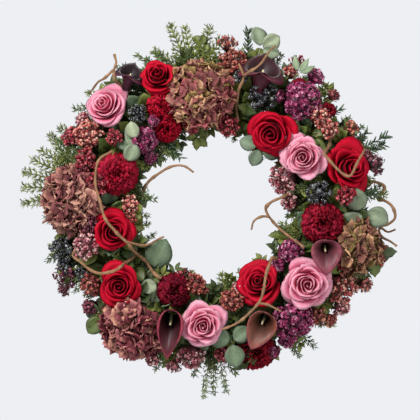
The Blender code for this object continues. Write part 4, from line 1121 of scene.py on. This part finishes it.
def addMoss(dial):
    # a tube round the ring whose radius swells and dips by sums of sines, with a flat back and loose strands
    a = np.linspace(0, 360, 420, endpoint=False)[:, None]
    b = np.linspace(0, 2 * np.pi, 44, endpoint=False)[None]
    c = np.radians(a)
    lumps = np.sin(23 * c + 3 * np.sin(2 * b)) * np.cos(3 * b + 5 * c) + 0.7 * np.sin(61 * c + 5 * b)
    lumps = lumps + 0.5 * np.sin(97 * c - 7 * b + 2 * np.sin(11 * c))
    r = mossR * (0.97 + dial["lump"] * (lumps - 1.4) / 2.2)
    level = np.maximum(mossLevel + r * np.cos(b), dial["back"] * mm)
    p = at(a, r * np.sin(b), level)
    p = np.concatenate([p, p[:1]])
    tube = weldPart(gridPart(p, wrap=True))
    body = tinted(tube, dial["colours"][1])
    rng = np.random.default_rng(seeds["moss"])
    count = dial["strands"]
    clock, roll = rng.uniform(0, 360, count), rng.uniform(-140, 140, count)
    clear = (np.abs((clock + 180) % 360 - 180) > dial["bailGap"]) | (roll < 40)
    clock, roll = clock[clear], roll[clear]
    out = axisAt(clock, roll)
    strand = tubePart([[0, 0, 0], [0.12, 0.5, 0.1], [-0.1, 1, 0.0]], np.array([0.05, 0.05, 0.02]), 3)
    lean = unit(0.5 * out + rng.normal(0, 0.6, out.shape))
    places = at(clock, 0, mossLevel) + 0.95 * mossR * out
    sizes = dial["strandLength"] * mm * rng.uniform(0.5, 1.2, len(clock))
    loose = scatter(strand, places, leaning(lean, out), sizes, pick(dial["colours"], len(clock), rng))
    addPiece("moss_ring_body", body, skins["mossFibre"], stands=["moss_ring"], slot="moss")
    addPiece("moss_strands", loose, skins["mossFibre"])


addMoss(mossDial)
print("moss made")


# each twig: root (clock, roll), run of (clock, offset in millimetres), branches of (run index, run)
twigs = {
    "willow_twig_1": ((324, 100), [(322, 55), (324, 64), (326, 69), (327, 79)],
                      [(1, [(320, 62), (317, 67), (313, 66)])]),
    "willow_twig_2": ((216, -80), [(217, -30), (222, -31), (231, -33), (240, -28), (248, -26), (257, -18), (264, -7),
                                   (274, -2), (283, 7), (292, 10), (299, 0)],
                      [(4, [(242, -42), (240, -58), (239, -68)])]),
    "willow_twig_3": ((267, -84), [(272, -47), (282, -51), (295, -55), (307, -62), (317, -70), (325, -78), (330, -89)],
                      []),
    "willow_twig_4": ((238, -62), [(238, -12), (237, 3), (239, 16), (243, 26), (248, 36), (251, 41), (253, 34)], []),
    "willow_twig_5": ((12, -70), [(16, -28), (13, -12), (12, 6), (13, 22), (10, 36)],
                      [(3, [(17, 34), (19, 52), (21, 66)])]),
    "willow_twig_6": ((59, 68), [(65, 8), (71, 13), (76, 22), (77, 30), (72, 44), (69, 55)], []),
    "willow_twig_7": ((87, 98), [(81, 60), (83, 71), (87, 63), (88, 71), (90, 80), (93, 83), (95, 77), (97, 66),
                                 (100, 70), (101, 81), (102, 90)],
                      [(7, [(98, 76), (97, 85)])]),
    "willow_twig_8": ((80, -84), [(81, -54), (84, -66), (91, -73), (100, -69), (107, -58), (111, -40), (114, -20)],
                      [(3, [(102, -78), (109, -85), (121, -84)])]),
    "willow_twig_9": ((126, -84), [(132, -46), (141, -37), (148, -24), (155, -12), (163, -3), (169, 3), (176, 8)],
                      [(3, [(151, -4), (147, 10)])]),
}
# radius at the root and wander in millimetres; taper and knots are shares of the radius
twigDial = {"thick": 2.2, "taper": 0.42, "knots": 0.4, "sway": 1.1, "colour": paint(152, 114, 82)}


def twigRun(points, nodeCo, first=None):
    # the route seen from the front; its level is that of the node's own wood nearest to each point
    points = at([p[0] for p in points], np.array([p[1] for p in points]) * mm, 0)
    if first is not None:
        points = np.vstack([first[None] * [1, 0, 1] + [0, doorY, 0], points])
    path = smoothPath(points, 2.5 * mm)
    flat = np.hypot(path[:, None, 0] - nodeCo[None, :, 0], path[:, None, 2] - nodeCo[None, :, 2])
    near = np.argsort(flat, axis=1)[:, :6]
    y = nodeCo[near, 1].mean(1)
    kernel = np.ones(5) / 5
    y = np.convolve(np.pad(y, 2, mode="edge"), kernel, mode="valid")
    path[:, 1] = y
    return path


def woodOf(path, dial, start, rng):
    # radius tapers along the run, swells at knots and wanders a little
    s = np.linspace(0, 1, len(path))
    knots = (0.5 + 0.5 * np.cos(2 * np.pi * s * len(path) / 9 + rng.uniform(0, 6))) ** 6
    radius = start * mm * (1 - dial["taper"] * s) * (1 + dial["knots"] * knots + 0.06 * rng.normal(size=len(path)))
    sway = dial["sway"] * mm * np.sin(s[:, None] * len(path) / 3.7 + rng.uniform(0, 6, 3))
    wood = tubePart(path + sway * np.sin(np.pi * s)[:, None], radius, 8)
    wood["uv"] = np.stack([wood["uv"][:, 1], wood["uv"][:, 0] * len(path) / 10], axis=-1)
    return tinted(wood, dial["colour"])


def addTwig(name, row, dial, rng):
    # wood along the run, rooted in the moss; each branch leaves the run where it passes nearest to its fork
    (rootClock, roll), run, branches = row
    co = nodePoints(name)
    path = twigRun(run, co)
    neck = at(rootClock, 0, mossLevel) + (mossR + 4 * mm) * axisAt(rootClock, roll)
    low = at(rootClock, 0, mossLevel) + 0.6 * mossR * axisAt(rootClock, roll)
    whole = np.vstack([smoothPath([low, neck, path[0]], 2.5 * mm), path[1:]])
    parts = [woodOf(whole, dial, dial["thick"], rng)]
    knots = at([p[0] for p in run], np.array([p[1] for p in run]) * mm, 0)
    for index, points in branches:
        fork = path[np.linalg.norm((path - knots[index])[:, [0, 2]], axis=1).argmin()]
        branch = twigRun(points, co, fork)
        branch = np.vstack([fork[None], branch[1:]])
        parts.append(woodOf(branch, dial, 0.75 * dial["thick"], rng))
    addPiece(name + "_wood", joinParts(parts), skins["willowBark"], stands=[name], slot="willow_twig")


for count, (name, row) in enumerate(twigs.items()):
    addTwig(name, row, twigDial, np.random.default_rng(seeds["twigs"] + count))
print("twigs made:", len(twigs))


bareZinc = paint(150, 152, 156)  # the eyes and the bail


def addRings():
    # each ring is a round wire: a small circle carried round a large one
    green = paint(46, 76, 54)
    for name, low, high in (("frame_outer_ring", outerLow, outerHigh), ("frame_inner_ring", innerLow, innerHigh)):
        radius = high.x - wireR
        a = np.linspace(0, 360, 180, endpoint=False)[:, None]
        b = np.linspace(0, 2 * np.pi, 12, endpoint=False)[None]
        level = doorY - (low.y + high.y) / 2
        p = at(a, radius - meanR + wireR * np.sin(b), level + wireR * np.cos(b))
        ring = weldPart(gridPart(np.concatenate([p, p[:1]]), wrap=True))
        addPiece(name + "_wire", tinted(ring, green), skins["enamelWire"], stands=[name], slot="frame")


def addEyes():
    # each eye is a small loop of wire standing on the outer ring, with the bail's foot through it
    for name in ("hanger_eye_left", "hanger_eye_right"):
        low, high = (np.array(v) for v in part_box(name))
        wire = (high[0] - low[0]) / 2
        middle, radius = (low + high) / 2, (high[2] - low[2]) / 2 - wire
        a = np.linspace(0, 2 * np.pi, 37)[:, None]
        b = np.linspace(0, 2 * np.pi, 12, endpoint=False)[None]
        r = radius + wire * np.cos(b)
        p = middle + np.stack([wire * np.sin(b) + 0 * a, r * np.cos(a), r * np.sin(a)], axis=-1)
        eye = weldPart(gridPart(p, wrap=True))
        addPiece(name + "_loop", tinted(eye, bareZinc), skins["galvanised"], stands=[name], slot="bail_wire")


# the bail's wire in millimetres, and how many degrees it leans forward
bailDial = {"halfWidth": 9, "height": 30, "foot": 8, "lean": 8, "wire": 2.0}


def addBail(dial):
    # half of the wire: out along the foot, up the leg and round the top; then the same mirrored
    joint = next(j for j in frame["joints"] if j["name"] == "bail_hinge")
    pivot = np.array(joint["pos_m"])
    leg, bend = dial["halfWidth"] * mm, 2.2 * dial["wire"] * mm
    low, top = np.radians(np.linspace(0, 90, 8)), np.radians(np.linspace(0, 90, 14))
    foot = [leg + dial["foot"] * mm, leg + bend + 2 * mm]
    x = np.concatenate([foot, leg + bend - bend * np.sin(low), leg * np.cos(top)])
    z = np.concatenate([[0, 0], bend - bend * np.cos(low), dial["height"] * mm - leg + leg * np.sin(top)])
    x, z = np.concatenate([x, -x[-2::-1]]), np.concatenate([z, z[-2::-1]])
    a = math.radians(dial["lean"])
    path = pivot + np.stack([x, -math.sin(a) * z, math.cos(a) * z], axis=-1)
    bail = tubePart(path, dial["wire"] / 2 * mm, 12)
    addPiece("hanger_bail_wire", tinted(bail, bareZinc), skins["galvanised"], "bail",
             stands=["hanger_bail"], slot="bail_wire")


def coatNode(name, material):
    # the straps and the binding wire keep their own shape, and only take a new finish
    slots = frame["nodes"][name].data.materials
    slots.clear()
    slots.append(material)


addRings()
addEyes()
addBail(bailDial)
for count in range(4):
    coatNode(f"frame_strap_{count + 1}", skins["strapEnamel"])
coatNode("binding_wire", skins["bindingSkin"])
print("frame, eyes and bail made")


# a pale floor far below, a pale surround and soft lights from the front: metres, and each lamp's place from the
# ring's centre, size and watts
stageDial = {"frameWidth": 0.504, "aimX": -4.2 * mm, "aimZ": -3.6 * mm, "flowerLevel": 0.065, "distance": 2.4,
             "surround": paint(237, 239, 243), "ambient": 0.42, "floorDrop": 1.45}
lamps = {"keyLamp": ((-1.0, -1.7, 1.2), 0.8, 58), "fillLamp": ((1.4, -1.5, 0.1), 1.2, 12),
         "rimLamp": ((0.3, 1.0, 1.3), 0.8, 8)}


def makeStage(dial):
    # the lens is the sensor's width times the distance over the frame's width; every lamp looks at the ring's centre
    scene = bpy.context.scene
    scene.view_settings.view_transform = "Standard"
    world = bpy.data.worlds.new("paleSurround")
    world.use_nodes = True
    scene.world = world
    nodes, links = world.node_tree.nodes, world.node_tree.links
    seen, lit = nodes["Background"], nodes.new("ShaderNodeBackground")
    seen.inputs["Color"].default_value = (*dial["surround"], 1)
    lit.inputs["Color"].default_value = (*dial["surround"], 1)
    lit.inputs["Strength"].default_value = dial["ambient"]
    ray, mix = nodes.new("ShaderNodeLightPath"), nodes.new("ShaderNodeMixShader")
    links.new(ray.outputs["Is Camera Ray"], mix.inputs["Fac"])
    links.new(lit.outputs[0], mix.inputs[1])
    links.new(seen.outputs[0], mix.inputs[2])
    links.new(mix.outputs[0], nodes["World Output"].inputs["Surface"])
    cameraData = bpy.data.cameras.new("frontCamera")
    cameraData.sensor_width = 36
    cameraData.lens = 36 * dial["distance"] / dial["frameWidth"]
    camera = bpy.data.objects.new("frontCamera", cameraData)
    scene.collection.objects.link(camera)
    camera.location = ringCentre + [dial["aimX"], -dial["flowerLevel"] - dial["distance"], dial["aimZ"]]
    camera.rotation_euler = (math.radians(90), 0, 0)
    scene.camera = camera
    for name, (place, size, watts) in lamps.items():
        lampData = bpy.data.lights.new(name, "AREA")
        lampData.size = size
        lampData.energy = watts
        lamp = bpy.data.objects.new(name, lampData)
        scene.collection.objects.link(lamp)
        x, y, z = place
        lamp.location = ringCentre + place
        lamp.rotation_euler = (math.atan2(math.hypot(x, y), z), 0, math.atan2(y, x) + math.pi / 2)
    line = np.linspace(-1.6, 1.6, 9)
    u, v = np.meshgrid(line, line, indexing="ij")
    part = gridPart(np.stack([u, v, 0 * u - dial["floorDrop"]], axis=-1))
    mesh = bpy.data.meshes.new("paleFloor")
    mesh.from_pydata(part["v"].tolist(), [], part["q"].tolist())
    floor = bpy.data.objects.new("paleFloor", mesh)
    scene.collection.objects.link(floor)
    mesh.materials.append(finish("paleFloorPaint", {"colour": dial["surround"], "rough": 0.85, "mottle": 0.01,
                                                    "mottleScale": 3, "grainScale": 40, "bump": 0.05}))


makeStage(stageDial)
print("stage set")
